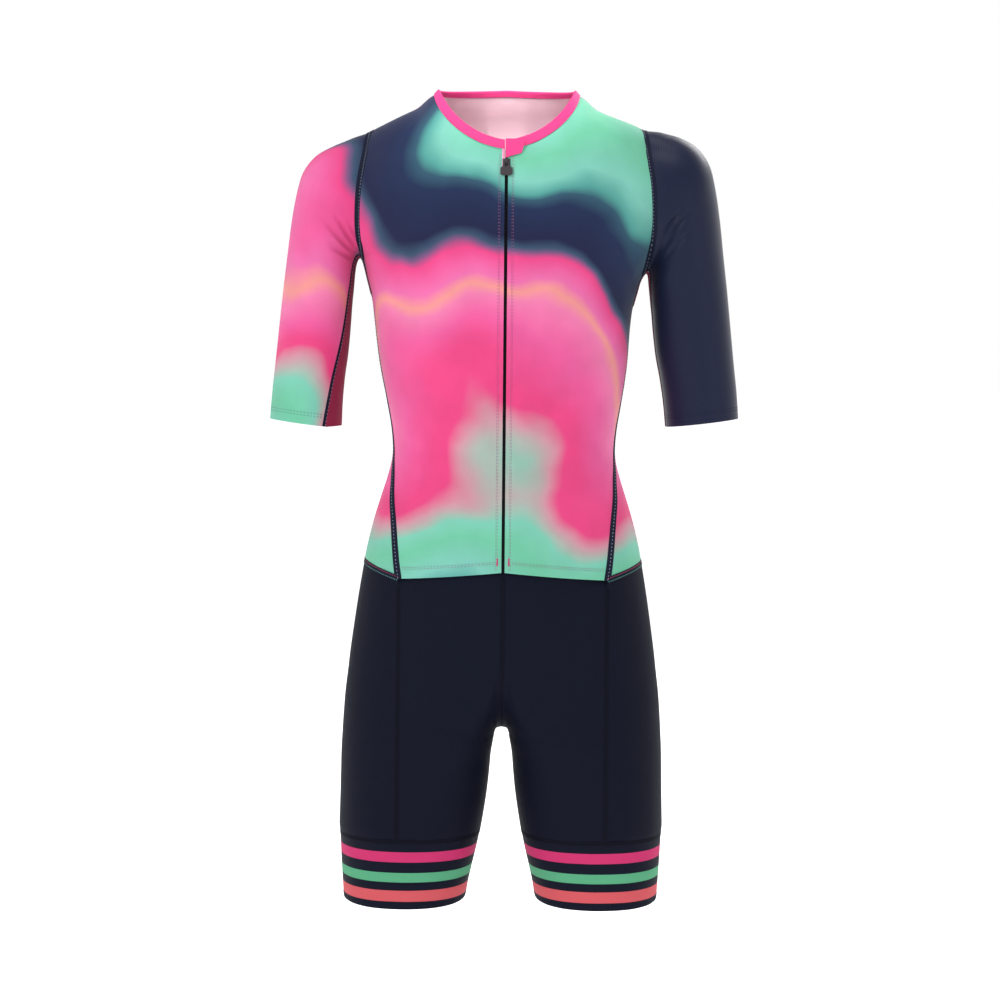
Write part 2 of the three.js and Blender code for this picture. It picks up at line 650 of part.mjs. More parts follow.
function shortsBack() {
  const { grid, normals, archEndRow } = shortsGrids();
  const rows = grid.map((row) => row.slice(seamColumn));
  const rowNormals = normals.map((row) => row.slice(seamColumn));
  const top = rows[0].map((_, j) => {
    const point = shortsPoint({ z: hemCornerZ, seamZ: hemCornerZ, under: 0 }, j + seamColumn);
    const angle = Math.atan2(point.x, -point.y);
    return { z: waistSeamZ(angle) - 2 * seamGap, angle };
  });
  rows.unshift(top.map((spot, j) => {
    const point = spotPoint(spot);
    if (j === top.length - 1) point.x = seamGap / 2;
    return point;
  }));
  rowNormals.unshift(top.map(spotNormal));
  rowNormals[0][top.length - 1].x = 0;
  rowNormals[0][top.length - 1].normalize();
  const last = lastColumn - seamColumn;
  insetBorder(rows, 'first', 0, rows.length - 1);
  const archRow = archEndRow + 1;
  for (let j = last - archColumns; j <= last; j += 1) rows[archRow][j].y += seamGap;
  for (let i = archRow + 1; i < rows.length; i += 1) rows[i][last - archColumns].y += seamGap;
  const keep = (i, j) => j < last - archColumns || i < archRow;
  return clothWall(rows, rowNormals, { keep });
}

function legBand() {
  const archEnd = lastColumn - archColumns;
  const rows = steps(4).map((t) => {
    const z = mix(bandSeamZ - seamGap, legHemZ, t);
    return Array.from({ length: archEnd - archColumns }, (_, j) => ringPoint(z, 1, j + archColumns));
  });
  return clothWall(rows, gridNormals(rows, true), { wraps: true });
}

// Binding round the neck, from one edge of the zip round the back to the other
const bindingThickness = 2;
const bindingProud = 0.5;
function neckBinding() {
  const front = steps(yokeRows).map((v) => necklineSpot(1 - v));
  const neckPoint = { z: neckPointZ, angle: Math.PI / 2 };
  const backSteps = backColumns - neckColumn;
  const back = steps(backSteps).slice(1)
    .map((v) => mixSpots(neckPoint, { z: neckBackZ, angle: Math.PI }, v));
  const spots = [...front, ...back];
  const heights = [bindingHeight, bindingHeight / 2, seamGap];
  const points = spots.map(spotPoint);
  const grid = heights.map(() => []);
  const normals = heights.map(() => []);
  spots.forEach((spot, j) => {
    const before = points[Math.max(j - 1, 0)];
    const after = points[Math.min(j + 1, points.length - 1)];
    const along = after.clone().sub(before);
    if (j === spots.length - 1) along.set(-1, 0, 0);
    const normal = spotNormal(spot);
    const up = normal.clone().cross(along).normalize();
    if (up.z < 0) up.negate();
    up.z += 0.45;
    up.normalize();
    const out = along.clone().cross(up).normalize();
    if (out.dot(normal) < 0) out.negate();
    heights.forEach((height, i) => {
      const point = points[j].clone().addScaledVector(up, height).addScaledVector(out, bindingProud);
      if (j === 0) point.x = zipGap / 2;
      grid[i].push(point);
      normals[i].push(out.clone());
    });
  });
  const flip = (v) => new THREE.Vector3(-v.x, v.y, v.z);
  const whole = (rows) => rows.map((row) => [...row, ...row.slice(0, -1).reverse().map(flip)]);
  return clothWall(whole(grid), whole(normals), { thickness: bindingThickness });
}

// Zip tape behind the two edges, with the coil raised between them
const tapeHalf = 9;
const tapeThickness = 0.8;
const coilHalf = 1.15;
const coilRise = 1.1;
const tapeTopZ = -29;
const coilTopZ = -54;
function zipTape() {
  const columns = [-tapeHalf, -coilHalf - 0.2, -coilHalf, coilHalf, coilHalf + 0.2, tapeHalf];
  const middleZs = frontSpots().map((row) => row[0].z).filter((z) => z < coilTopZ);
  const levels = [tapeTopZ, (tapeTopZ + coilTopZ) / 2, coilTopZ, ...middleZs];
  const grid = [];
  const normals = [];
  for (const z of levels) {
    const rise = z < coilTopZ ? coilRise : 0;
    const rowNormal = spotNormal({ z, angle: 0 });
    rowNormal.x = 0;
    const edge = bodyPoint(z, bodyAngle(z, zipGap / 2, 'front'));
    const far = bodyPoint(z, bodyAngle(z, tapeHalf, 'front'));
    grid.push(columns.map((x) => {
      const raised = Math.abs(x) <= coilHalf ? rise : 0;
      const y = Math.abs(x) === tapeHalf ? far.y : edge.y;
      const inset = clothThickness + seamGap - raised;
      return new THREE.Vector3(x, y, z).addScaledVector(rowNormal, -inset);
    }));
    normals.push(columns.map(() => rowNormal.clone()));
  }
  return clothWall(grid, normals, { thickness: tapeThickness });
}

// Pink flap that covers the zip's end, folded over the left edge
const garageRows = [
  { z: -17.5, left: -1, right: 18.5, proud: 3 },
  { z: -23, left: -1, right: 18.2, proud: 2.1 },
  { z: -28.5, left: -0.9, right: 17.2, proud: 0.8 },
  { z: -33, left: -0.8, right: 9, proud: 0.5 },
];
const garageThickness = 1.4;
function zipGarage() {
  const grid = garageRows.map(({ z, left, right }) => steps(4).map((t) => {
    const x = mix(left, right, t);
    return bodyPoint(z, Math.sign(x) * bodyAngle(z, Math.abs(x), 'front'));
  }));
  const normals = grid.map((row) => row.map((p) => spotNormal({ z: p.z, angle: Math.atan2(p.x, -p.y) })));
  grid.forEach((row, i) => row.forEach((point, j) => {
    point.addScaledVector(normals[i][j], garageRows[i].proud + garageThickness);
  }));
  return clothWall(grid, normals, { thickness: garageThickness });
}

// Slider and pull tab, laid out at the cloth's surface: x across, y outwards from the cloth
// (negative is out), z up the zip. The group that holds them leans with the chest.
const wasm = await Module();
wasm.setup();
function toSolid(geometry) {
  const bare = geometry.clone();
  bare.deleteAttribute('normal');
  bare.deleteAttribute('uv');
  const merged = mergeVertices(bare, 1e-4);
  return new wasm.Manifold(new wasm.Mesh({
    numProp: 3,
    vertProperties: new Float32Array(merged.attributes.position.array),
    triVerts: new Uint32Array(merged.index.array),
  }));
}
function fromSolid(solid) {
  const mesh = solid.getMesh();
  const geometry = new THREE.BufferGeometry();
  geometry.setAttribute('position', new THREE.Float32BufferAttribute(mesh.vertProperties, 3));
  geometry.setIndex(new THREE.BufferAttribute(mesh.triVerts, 1));
  return geometry;
}
function block(width, depth, height, y, z) {
  return new THREE.BoxGeometry(width, depth, height).translate(0, y, z);
}

const plateWidth = 8;
const plateHeight = 10;
const plateThickness = 1;
const bridgeHalf = 1;
const bridgeWall = 0.9;
const bridgeReach = 4.9;        // how far the bridge stands in front of the cloth
const bridgeTop = 4.2;
const bridgeFoot = -1;
const neckWidth = 2.2;
function zipSlider() {
  const plateBack = -seamGap;
  const plateY = plateBack - plateThickness / 2;
  const plate = block(plateWidth, plateThickness, plateHeight, plateY, 0);
  const neckDeep = 1.2;
  const neck = block(neckWidth, neckDeep - plateBack + 0.2, 6, (neckDeep + plateBack - 0.2) / 2, 0);
  const profile = new THREE.Shape();
  const plateFront = plateBack - plateThickness + 0.2;
  profile.moveTo(plateFront, bridgeFoot);
  profile.lineTo(-bridgeReach + 0.8, bridgeFoot);
  profile.lineTo(-bridgeReach, bridgeFoot + 0.8);
  profile.lineTo(-bridgeReach, bridgeTop - 0.8);
  profile.lineTo(-bridgeReach + 0.8, bridgeTop);
  profile.lineTo(plateFront, bridgeTop);
  profile.lineTo(plateFront, bridgeTop - bridgeWall);
  profile.lineTo(-bridgeReach + bridgeWall, bridgeTop - bridgeWall);
  profile.lineTo(-bridgeReach + bridgeWall, bridgeFoot + bridgeWall);
  profile.lineTo(plateFront, bridgeFoot + bridgeWall);
  const bridge = new THREE.ExtrudeGeometry(profile, { depth: 2 * bridgeHalf, bevelEnabled: false });
  bridge.translate(0, 0, -bridgeHalf);
  bridge.rotateX(Math.PI / 2);
  bridge.rotateZ(Math.PI / 2);
  return { plate, neck, bridge };
}

// Tab with a window: the bar at its top passes under the slider's bridge
const pullThickness = 1.4;
const barHeight = 1.2;
const windowHalf = 1.6;
const armWidth = 1.3;
const windowLength = 4.6;
const tabHalf = 6.3;
const tabLength = 10;
function pullTab() {
  const outline = new THREE.Shape();
  const top = barHeight / 2;
  const armHalf = windowHalf + armWidth;
  const neckZ = top - barHeight - windowLength;
  outline.moveTo(-armHalf, top);
  outline.lineTo(-armHalf, neckZ + 1);
  outline.lineTo(-tabHalf + 1.4, neckZ - 0.6);
  outline.lineTo(-tabHalf, neckZ - 2.6);
  outline.lineTo(-tabHalf, neckZ - tabLength + 3.4);
  outline.absarc(-tabHalf + 3, neckZ - tabLength + 3.4, 3, Math.PI, 1.5 * Math.PI);
  outline.absarc(tabHalf - 3, neckZ - tabLength + 3.4, 3, 1.5 * Math.PI, 2 * Math.PI);
  outline.lineTo(tabHalf, neckZ - 2.6);
  outline.lineTo(tabHalf - 1.4, neckZ - 0.6);
  outline.lineTo(armHalf, neckZ + 1);
  outline.lineTo(armHalf, top);
  const slot = new THREE.Path();
  slot.moveTo(-windowHalf, top - barHeight);
  slot.lineTo(windowHalf, top - barHeight);
  slot.lineTo(windowHalf, neckZ);
  slot.lineTo(-windowHalf, neckZ);
  outline.holes.push(slot);
  const tab = new THREE.ExtrudeGeometry(outline, {
    depth: pullThickness, bevelEnabled: false, curveSegments: 5,
  });
  tab.translate(0, 0, -pullThickness / 2);
  return tab.rotateX(Math.PI / 2);
}

// Colours of the dyed cloths and of the zip
const finish = (color, roughness) => new THREE.MeshStandardMaterial({ color, roughness, metalness: 0 });
const printed = finish(0xfb8fbe, 0.75);
const navy = finish(0x242a42, 0.8);
const crimson = finish(0x8e2a48, 0.8);
const bindingPink = finish(0xf8509a, 0.75);
const blackCloth = finish(0x17171c, 0.8);
const blackPlastic = finish(0x222226, 0.5);

const suit = new THREE.Group();
function addPiece(parent, name, geometry, material) {
  const mesh = new THREE.Mesh(geometry, material);
  mesh.name = name;
  parent.add(mesh);
  return mesh;
}
addPiece(suit, 'front_left', frontPanel(), printed);
addPiece(suit, 'front_right', mirrored(frontPanel()), printed);
addPiece(suit, 'back', backPanel(), printed);
addPiece(suit, 'sleeve_right', sleevePanel('right'), printed);
addPiece(suit, 'sleeve_left', mirrored(sleevePanel('left')), navy);
addPiece(suit, 'underarm_right', underarmStrip('right'), crimson);
addPiece(suit, 'underarm_left', mirrored(underarmStrip('left')), crimson);
addPiece(suit, 'neck_binding', neckBinding(), bindingPink);
addPiece(suit, 'zip_garage', zipGarage(), bindingPink);
addPiece(suit, 'zip_tape', zipTape(), blackCloth);
addPiece(suit, 'shorts_front_left', shortsFront(), navy);
addPiece(suit, 'shorts_front_right', mirrored(shortsFront()), navy);
addPiece(suit, 'shorts_back_left', shortsBack(), navy);
addPiece(suit, 'shorts_back_right', mirrored(shortsBack()), navy);
addPiece(suit, 'leg_band_left', legBand(), navy);
addPiece(suit, 'leg_band_right', mirrored(legBand()), navy);

const zipTop = new THREE.Group();
const chest = spotNormal({ z: sliderZ, angle: 0 });
zipTop.position.copy(bodyPoint(sliderZ, 0));
zipTop.rotation.x = Math.atan2(chest.z, -chest.y) * -1;
const { plate, neck, bridge } = zipSlider();
const slider = toSolid(plate).add(toSolid(neck)).add(toSolid(bridge));
addPiece(zipTop, 'zip_slider', fromSolid(slider), blackPlastic);
const pull = addPiece(zipTop, 'zip_pull', pullTab(), blackPlastic);
pull.position.set(0, -pullPivotOut, pullPivotUp);
suit.add(zipTop);

export default suit;
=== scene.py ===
# Looks of the triathlon suit: cloth, seams, zip, materials, light and camera.
import math

import bmesh
import bpy
import numpy as np
from mathutils import Matrix, Quaternion, Vector


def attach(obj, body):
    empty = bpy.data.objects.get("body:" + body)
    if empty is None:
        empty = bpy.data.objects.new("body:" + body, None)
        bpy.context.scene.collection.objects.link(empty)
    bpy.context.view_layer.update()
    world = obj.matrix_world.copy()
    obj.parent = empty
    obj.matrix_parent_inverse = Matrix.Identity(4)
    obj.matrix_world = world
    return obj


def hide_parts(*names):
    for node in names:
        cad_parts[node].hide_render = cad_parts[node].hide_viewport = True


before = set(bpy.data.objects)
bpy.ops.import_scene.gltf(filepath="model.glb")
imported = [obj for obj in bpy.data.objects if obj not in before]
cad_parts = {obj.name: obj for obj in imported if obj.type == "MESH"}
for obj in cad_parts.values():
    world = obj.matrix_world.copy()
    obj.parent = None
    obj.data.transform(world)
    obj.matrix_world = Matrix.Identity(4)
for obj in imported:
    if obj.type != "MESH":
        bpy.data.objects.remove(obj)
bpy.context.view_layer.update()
print("frame loaded")

# The suit's form in millimetres, as in the CAD part: +Z up, the front faces -Y
sectionPower = 2.3
zipGap = 3.4
armholeTop, armholeBottom, armholeSteps = 3, -141, 30
neckPointX, neckPointZ, neckFrontZ, neckBackZ = 76, 34.5, -27, 38
gussetEndZ = -175
hemFrontZ, hemCornerZ = -461, -470
waistSeamSideZ, waistSeamBackZ = -456, -450
clothThickness = 1.3
flapInset = clothThickness + 2.2
crotchStartZ, crotchZ, saddleRadius = -560, -633, 8
legShiftTopZ, legShiftEndZ = -540, -725
bandSeamZ, legHemZ = -744, -810
seamGap = 0.3

# height, half width, depth of the front, depth of the back
bodySections = [
    (44, 62, 50, 60), (34.5, 76, 58, 63), (20, 102, 68, 72), (3, 143, 77, 82),
    (-21, 157.5, 86, 90), (-42, 168.5, 92, 95), (-64, 174, 97.5, 98), (-85, 173.5, 102, 100),
    (-106, 168.5, 106, 101), (-122, 161, 109, 101), (-134, 153.5, 111, 100),
    (-141, 150, 112, 99.5), (-160, 145, 113.5, 98), (-180, 140, 114, 96),
    (-201, 137.3, 113, 93), (-244, 132, 105, 86), (-286, 124, 95, 80), (-318, 118.6, 89, 77),
    (-345, 118, 87.5, 77), (-371, 124, 91, 82), (-392, 131, 94.5, 88), (-435, 142.6, 100, 99),
    (-477, 150.5, 103, 109), (-541, 160, 101, 116), (-583, 165, 98, 114),
    (-625, 168.5, 95, 107), (-680, 170.5, 90, 98),
]
# height, distance of the seam from the middle; height, degrees round from the front
armholeSeam = [(3, 143), (-21, 146), (-64, 151.5), (-106, 152.5), (-141, 150)]
sideSeam = [(-175, 89), (-300, 84), (-345, 80), (-371, 72), (-413, 62), (-470, 54.4)]
# height, inner side, outer side, depth of the front, depth of the back
legSections = [
    (-560, 8, 162.4, 99.8, 115.2), (-600, 8, 166.7, 96.8, 111.5), (-641, 8, 169.3, 93.5, 105),
    (-657, 11, 170.1, 91.5, 102), (-689, 13.8, 171, 89, 98), (-710, 16.4, 171.3, 87, 95),
    (-736, 20.5, 172, 85.5, 92.5), (-744, 22, 171, 84, 91), (-763, 26, 170.1, 82.5, 88.5),
    (-784, 31, 169, 81, 86.5), (-811, 37, 167, 79.5, 84.5),
]
# outer x and z, lift of the left shoulder, inner x and z, half the depth
sleeveRings = [
    (143, 3, 0, 150, -141, 56), (163, -8, 5, 153, -136.5, 57), (184, -17, 8, 156.5, -138.5, 57),
    (201, -27, 8, 159, -146, 56), (213.5, -43, 7, 160.3, -157, 54.5),
    (220, -64, 5, 161.3, -170, 52.5), (225.5, -95, 2, 162.8, -186, 50),
    (230, -132, 0, 164, -204, 47.5), (234.5, -170, 0, 165.3, -222, 45.5),
    (238.5, -208, 0, 167, -240, 44), (242.5, -246, 0, 170, -262, 43),
    (246, -277, 0, 172, -287, 42.5), (248, -303, 0, 173, -312.5, 42),
]
# ring, front and back edge of the underarm strip, in degrees round the sleeve
stripEdges = {
    "right": [(0, 168, 204), (5, 160, 202), (8, 150, 198), (12, 127, 190)],
    "left": [(0, 168, 204), (3, 170, 214), (6, 182, 232), (12, 188, 250)],
}
stripFront, stripBack = 14, 17


def readTable(table, column, at):
    rows = sorted(table)
    last = len(rows) - 1
    where = min(max(at, rows[0][0]), rows[last][0])
    i = 0
    while i < last - 1 and where > rows[i + 1][0]:
        i += 1

    def slope(a, b):
        return (rows[b][column] - rows[a][column]) / (rows[b][0] - rows[a][0])

    span = rows[i + 1][0] - rows[i][0]
    t = (where - rows[i][0]) / span
    slopeIn = slope(max(i - 1, 0), min(i + 1, last)) * span
    slopeOut = slope(i, min(i + 2, last)) * span
    a, b = rows[i][column], rows[i + 1][column]
    return (a * (2 * t**3 - 3 * t**2 + 1) + slopeIn * (t**3 - 2 * t**2 + t)
            + b * (3 * t**2 - 2 * t**3) + slopeOut * (t**3 - t**2))


def mix(a, b, t):
    return a + (b - a) * t


def steps(count):
    return [i / count for i in range(count + 1)]


def ovalPoint(half, front, back, angle):
    depth = front if math.cos(angle) > 0 else back
    across, along = abs(math.sin(angle)) / half, abs(math.cos(angle)) / depth
    radius = (across**sectionPower + along**sectionPower) ** (-1 / sectionPower)
    return radius * math.sin(angle), -radius * math.cos(angle)


def bodyPoint(spot):
    z, angle = spot
    half, front, back = (readTable(bodySections, column, z) for column in (1, 2, 3))
    x, y = ovalPoint(half, front, back, angle)
    return np.array([x, y, z])


def bodyAngle(z, x, side):
    half = readTable(bodySections, 1, z)
    depth = readTable(bodySections, 2 if side == "front" else 3, z)
    share = max(1 - min(x / half, 1) ** sectionPower, 0)
    angle = math.atan2(x, depth * share ** (1 / sectionPower))
    return angle if side == "front" else math.pi - angle


def bodyNormal(spot):
    z, angle = spot
    turn = math.radians(1)
    down = bodyPoint((z - 1.5, angle)) - bodyPoint((z + 1.5, angle))
    along = bodyPoint((z, angle + turn)) - bodyPoint((z, angle - turn))
    normal = np.cross(down, along)
    return normal / np.linalg.norm(normal)


def spotAt(z, angle):
    return np.array([z, angle], float)


def patchSpot(top, bottom, left, right, u, v):
    corners = mix(mix(top(0), top(1), u), mix(bottom(0), bottom(1), u), v)
    return mix(top(u), bottom(u), v) + mix(left(v), right(v), u) - corners


def armholeSpot(k):
    middle = (armholeTop + armholeBottom) / 2
    z = middle + (armholeTop - middle) * math.cos(2 * math.pi * k / armholeSteps)
    side = "front" if k <= armholeSteps / 2 else "back"
    return spotAt(z, bodyAngle(z, readTable(armholeSeam, 1, z), side))


def frontSpot(z, x):
    return spotAt(z, bodyAngle(z, x, "front"))


def sideSeamAngle(z):
    return math.radians(readTable(sideSeam, 1, z))


def necklineSpot(v):
    power = 1.7
    turn = (math.pi / 2) * (1 - v**power)
    x = max(neckPointX * math.sin(turn) ** (2 / power), zipGap / 2)
    z = neckPointZ - (neckPointZ - neckFrontZ) * math.cos(turn) ** (2 / power)
    return frontSpot(z, x)


def waistSeamZ(angle):
    corner = sideSeamAngle(hemCornerZ)
    if angle <= math.pi / 2:
        t = max((angle - corner) / (math.pi / 2 - corner), 0)
        return mix(hemCornerZ, waistSeamSideZ, math.sin(t * math.pi / 2))
    return mix(waistSeamSideZ, waistSeamBackZ, (angle - math.pi / 2) / (math.pi / 2))


gussetFront = spotAt(gussetEndZ, math.radians(84.3))
gussetBack = spotAt(gussetEndZ, math.radians(97.3))
yokeRows, gussetRows, lowRows, frontColumns = 6, 4, 16, 8
gussetRowFront = stripFront + gussetRows
gussetRowBack = armholeSteps - stripBack + gussetRows


def frontSpots():
    def shoulder(u):
        return spotAt(mix(neckPointZ, armholeTop, u), math.pi / 2)

    def bottom(u):
        return mix(necklineSpot(1), armholeSpot(yokeRows), u)

    def armhole(v):
        return armholeSpot(v * yokeRows)

    rows = [[patchSpot(shoulder, bottom, necklineSpot, armhole, u, i / yokeRows)
             for u in steps(frontColumns)] for i in range(yokeRows)]
    levelRows = gussetRowFront - yokeRows
    for i in range(levelRows + 1):
        k = yokeRows + i
        edge = armholeSpot(min(k, stripFront))
        if k > stripFront:
            edge = mix(edge, gussetFront, (k - stripFront) / gussetRows)
        z = mix(neckFrontZ, gussetEndZ, i / levelRows)
        middle = frontSpot(z, zipGap / 2)
        rows.append([mix(middle, edge, u) for u in steps(frontColumns)])
    seam = sideSeamAngle(gussetEndZ)
    for row in rows:
        row.append(row[frontColumns] + spotAt(0, seam - gussetFront[1]))
    for i in range(1, lowRows + 1):
        edgeZ = mix(gussetEndZ, hemCornerZ, i / lowRows)
        middleZ = mix(gussetEndZ, hemFrontZ, i / lowRows)
        edge = spotAt(edgeZ, sideSeamAngle(edgeZ))
        middle = frontSpot(middleZ, zipGap / 2)
        firstShare = min((gussetFront[1] - middle[1]) / (edge[1] - middle[1]), 0.97)
        share = mix(firstShare, frontColumns / (frontColumns + 1), min(i / 5, 1))
        rows.append([mix(middle, edge, u * share) for u in steps(frontColumns)] + [edge])
    return rows


backColumns, neckColumn = 10, 5


def backSpots():
    across, yokeZ = backColumns - 1, -40
    neckShare = (neckColumn - 1) / across
    neckPoint, tip = spotAt(neckPointZ, math.pi / 2), spotAt(armholeTop, math.pi / 2)

    def top(u):
        if u <= neckShare:
            return mix(tip, neckPoint, u / neckShare)
        return mix(neckPoint, spotAt(neckBackZ, math.pi), (u - neckShare) / (1 - neckShare))

    def bottom(u):
        return mix(armholeSpot(armholeSteps - yokeRows), spotAt(yokeZ, math.pi), u)

    def armhole(v):
        return tip if v == 0 else armholeSpot(armholeSteps - v * yokeRows)

    def middle(v):
        return spotAt(mix(neckBackZ, yokeZ, v), math.pi)

    rows = [[patchSpot(top, bottom, armhole, middle, u, i / yokeRows) for u in steps(across)]
            for i in range(yokeRows)]
    lastArmhole = armholeSteps - stripBack
    levelRows = gussetRowBack - yokeRows
    for i in range(levelRows + 1):
        k = yokeRows + i
        edge = armholeSpot(armholeSteps - min(k, lastArmhole))
        if k > lastArmhole:
            edge = mix(edge, gussetBack, (k - lastArmhole) / gussetRows)
        centre = spotAt(mix(yokeZ, gussetEndZ, i / levelRows), math.pi)
        rows.append([mix(edge, centre, u) for u in steps(across)])
    seam = sideSeamAngle(gussetEndZ)
    for row in rows:
        row.insert(0, row[0] + spotAt(0, seam - gussetBack[1]))
    for i in range(1, lowRows + 1):
        edgeZ = mix(gussetEndZ, hemCornerZ, i / lowRows)
        edge = spotAt(edgeZ, sideSeamAngle(edgeZ))
        firstShare = (gussetBack[1] - edge[1]) / (math.pi - edge[1])
        share = mix(firstShare, 1 / backColumns, min(i / 5, 1))
        row = [edge]
        for u in steps(across):
            angle = mix(edge[1], math.pi, share + u * (1 - share))
            row.append(spotAt(mix(gussetEndZ, waistSeamZ(angle), i / lowRows), angle))
        rows.append(row)
    return rows


def sleeveGrid(side):
    fades = [1, 0.75, 0.45, 0.2]
    firstX, firstZ, lift, firstInnerX, firstInnerZ, firstDepth = sleeveRings[0]
    grid = []
    for ring, (outerX, outerZ, liftLeft, innerX, innerZ, depth) in enumerate(sleeveRings):
        lift = liftLeft if side == "left" else 0
        front, back = (readTable(stripEdges[side], column, ring) for column in (1, 2))
        row = []
        for k in range(armholeSteps):
            turn = front * k / stripFront
            if k > stripFront:
                turn = mix(front, back, (k - stripFront) / (stripBack - stripFront))
            if k > stripBack:
                turn = mix(back, 360, (k - stripBack) / (armholeSteps - stripBack))
            turn = math.radians(turn)
            outwards = (1 + math.cos(turn)) / 2
            point = np.array([-mix(innerX, outerX, outwards), -depth * math.sin(turn),
                              mix(innerZ, outerZ + lift, outwards)])
            if ring < len(fades):
                seam = bodyPoint(armholeSpot(k)) * (-1, 1, 1)
                even = 2 * math.pi * k / armholeSteps
                outwards = (1 + math.cos(even)) / 2
                seam[0] += mix(firstInnerX, firstX, outwards)
                seam[1] += firstDepth * math.sin(even)
                seam[2] -= mix(firstInnerZ, firstZ, outwards)
                point = point + seam * fades[ring]
            row.append(point)
        grid.append(row)
    return np.array(grid)


archColumns, seamColumn, lastColumn, underSteps = 2, 8, 24, 6
hipLevels = [-478, -496, -514, -532, -546, crotchStartZ]
legLevels = [-650, -662, -680, -700, -719, -736, bandSeamZ]
archEndRow = len(hipLevels) + underSteps - 1
seamX = bodyPoint((hemCornerZ, sideSeamAngle(hemCornerZ)))[0]


def ringShape(z):
    isHip = z > crotchStartZ
    table, columns = (bodySections, (1, 2, 3)) if isHip else (legSections, (2, 3, 4))
    outer, front, back = (readTable(table, column, z) for column in columns)
    inner = readTable(legSections, 1, z)
    t = min(max((legShiftTopZ - z) / (legShiftTopZ - legShiftEndZ), 0), 1)
    return (inner + outer) / 2 * t * t * (3 - 2 * t), inner, outer, front, back


def ringPoint(z, under, column):
    centre, inner, outer, front, back = ringShape(z)
    half = outer - centre
    archEnd = lastColumn - archColumns
    frontEnd = mix(math.atan2(saddleRadius - centre, front), -math.pi / 2, under)
    backEnd = mix(math.pi - math.atan2(saddleRadius - centre, back), 1.5 * math.pi, under)
    seamShare = 1 - ((seamX - centre) / half) ** sectionPower
    seam = math.atan2(seamX - centre, front * seamShare ** (1 / sectionPower))
    if column <= seamColumn:
        angle = mix(frontEnd, seam, (column - archColumns) / (seamColumn - archColumns))
    else:
        angle = mix(seam, backEnd, (column - seamColumn) / (archEnd - seamColumn))
    x, y = ovalPoint(half, front, back, angle)
    if math.sin(angle) >= 0:
        return np.array([centre + x, y, z])
    xEnd = ovalPoint(half, front, back, frontEnd if column < seamColumn else backEnd)[0]
    return np.array([centre - (centre - inner) * x / xEnd, y, z])


def shortsPoint(z, seamZ, under, isLeg, column):
    fromEdge = min(column, lastColumn - column)
    ring = ringPoint(z, under, min(max(column, archColumns), lastColumn - archColumns))
    if fromEdge >= archColumns or isLeg:
        return ring
    turn = (math.pi / 2) * fromEdge / archColumns
    shape = ringShape(z)
    depth = -shape[3] if column < seamColumn else shape[4]
    y = mix(depth * math.cos(under * math.pi / 2), ring[1], math.sin(turn))
    x = max(ring[0] * math.sin(turn), seamGap / 2)
    return np.array([x, y, mix(seamZ, z, 1 - math.cos(turn))])


def lowerLevels():
    levels = [(z, z, 0, False) for z in hipLevels]
    for i in range(1, underSteps + 1):
        turn = (math.pi / 2) * i / underSteps
        seamZ = crotchStartZ + (crotchZ - crotchStartZ) * math.sin(turn)
        levels.append((seamZ - saddleRadius * (1 - math.cos(turn)), seamZ, i / underSteps, False))
    return levels + [(z, z, 1, True) for z in legLevels]


# Mesh making: grids of points in millimetres become closed cloth in metres
def refine(grid, times, axis, wraps=False):
    rows = np.moveaxis(np.asarray(grid, float), axis, 0)
    if wraps:
        padded = np.concatenate([rows[-1:], rows, rows[:2]])
    else:
        padded = np.concatenate([2 * rows[:1] - rows[1:2], rows, 2 * rows[-1:] - rows[-2:-1]])
    fine = []
    for a, b, c, d in zip(padded, padded[1:], padded[2:], padded[3:]):
        for s in range(times):
            t = s / times
            fine.append(0.5 * (2 * b + (c - a) * t + (2 * a - 5 * b + 4 * c - d) * t**2
                               + (3 * b - a - 3 * c + d) * t**3))
    fine.append(padded[-2])
    return np.moveaxis(np.array(fine), 0, axis)


def gridNormals(grid, axisX, wraps=False):
    normals = np.cross(np.gradient(grid, axis=1), np.gradient(grid, axis=0))
    if wraps:
        normals[:, 0] = normals[:, -1] = normals[:, 0] + normals[:, -1]
    length = np.linalg.norm(normals, axis=2, keepdims=True)
    normals = normals / np.maximum(length, 1e-9)
    outwards = grid * (1, 1, 0) - (axisX, 0, 0)
    return normals if (normals * outwards).sum() > 0 else -normals


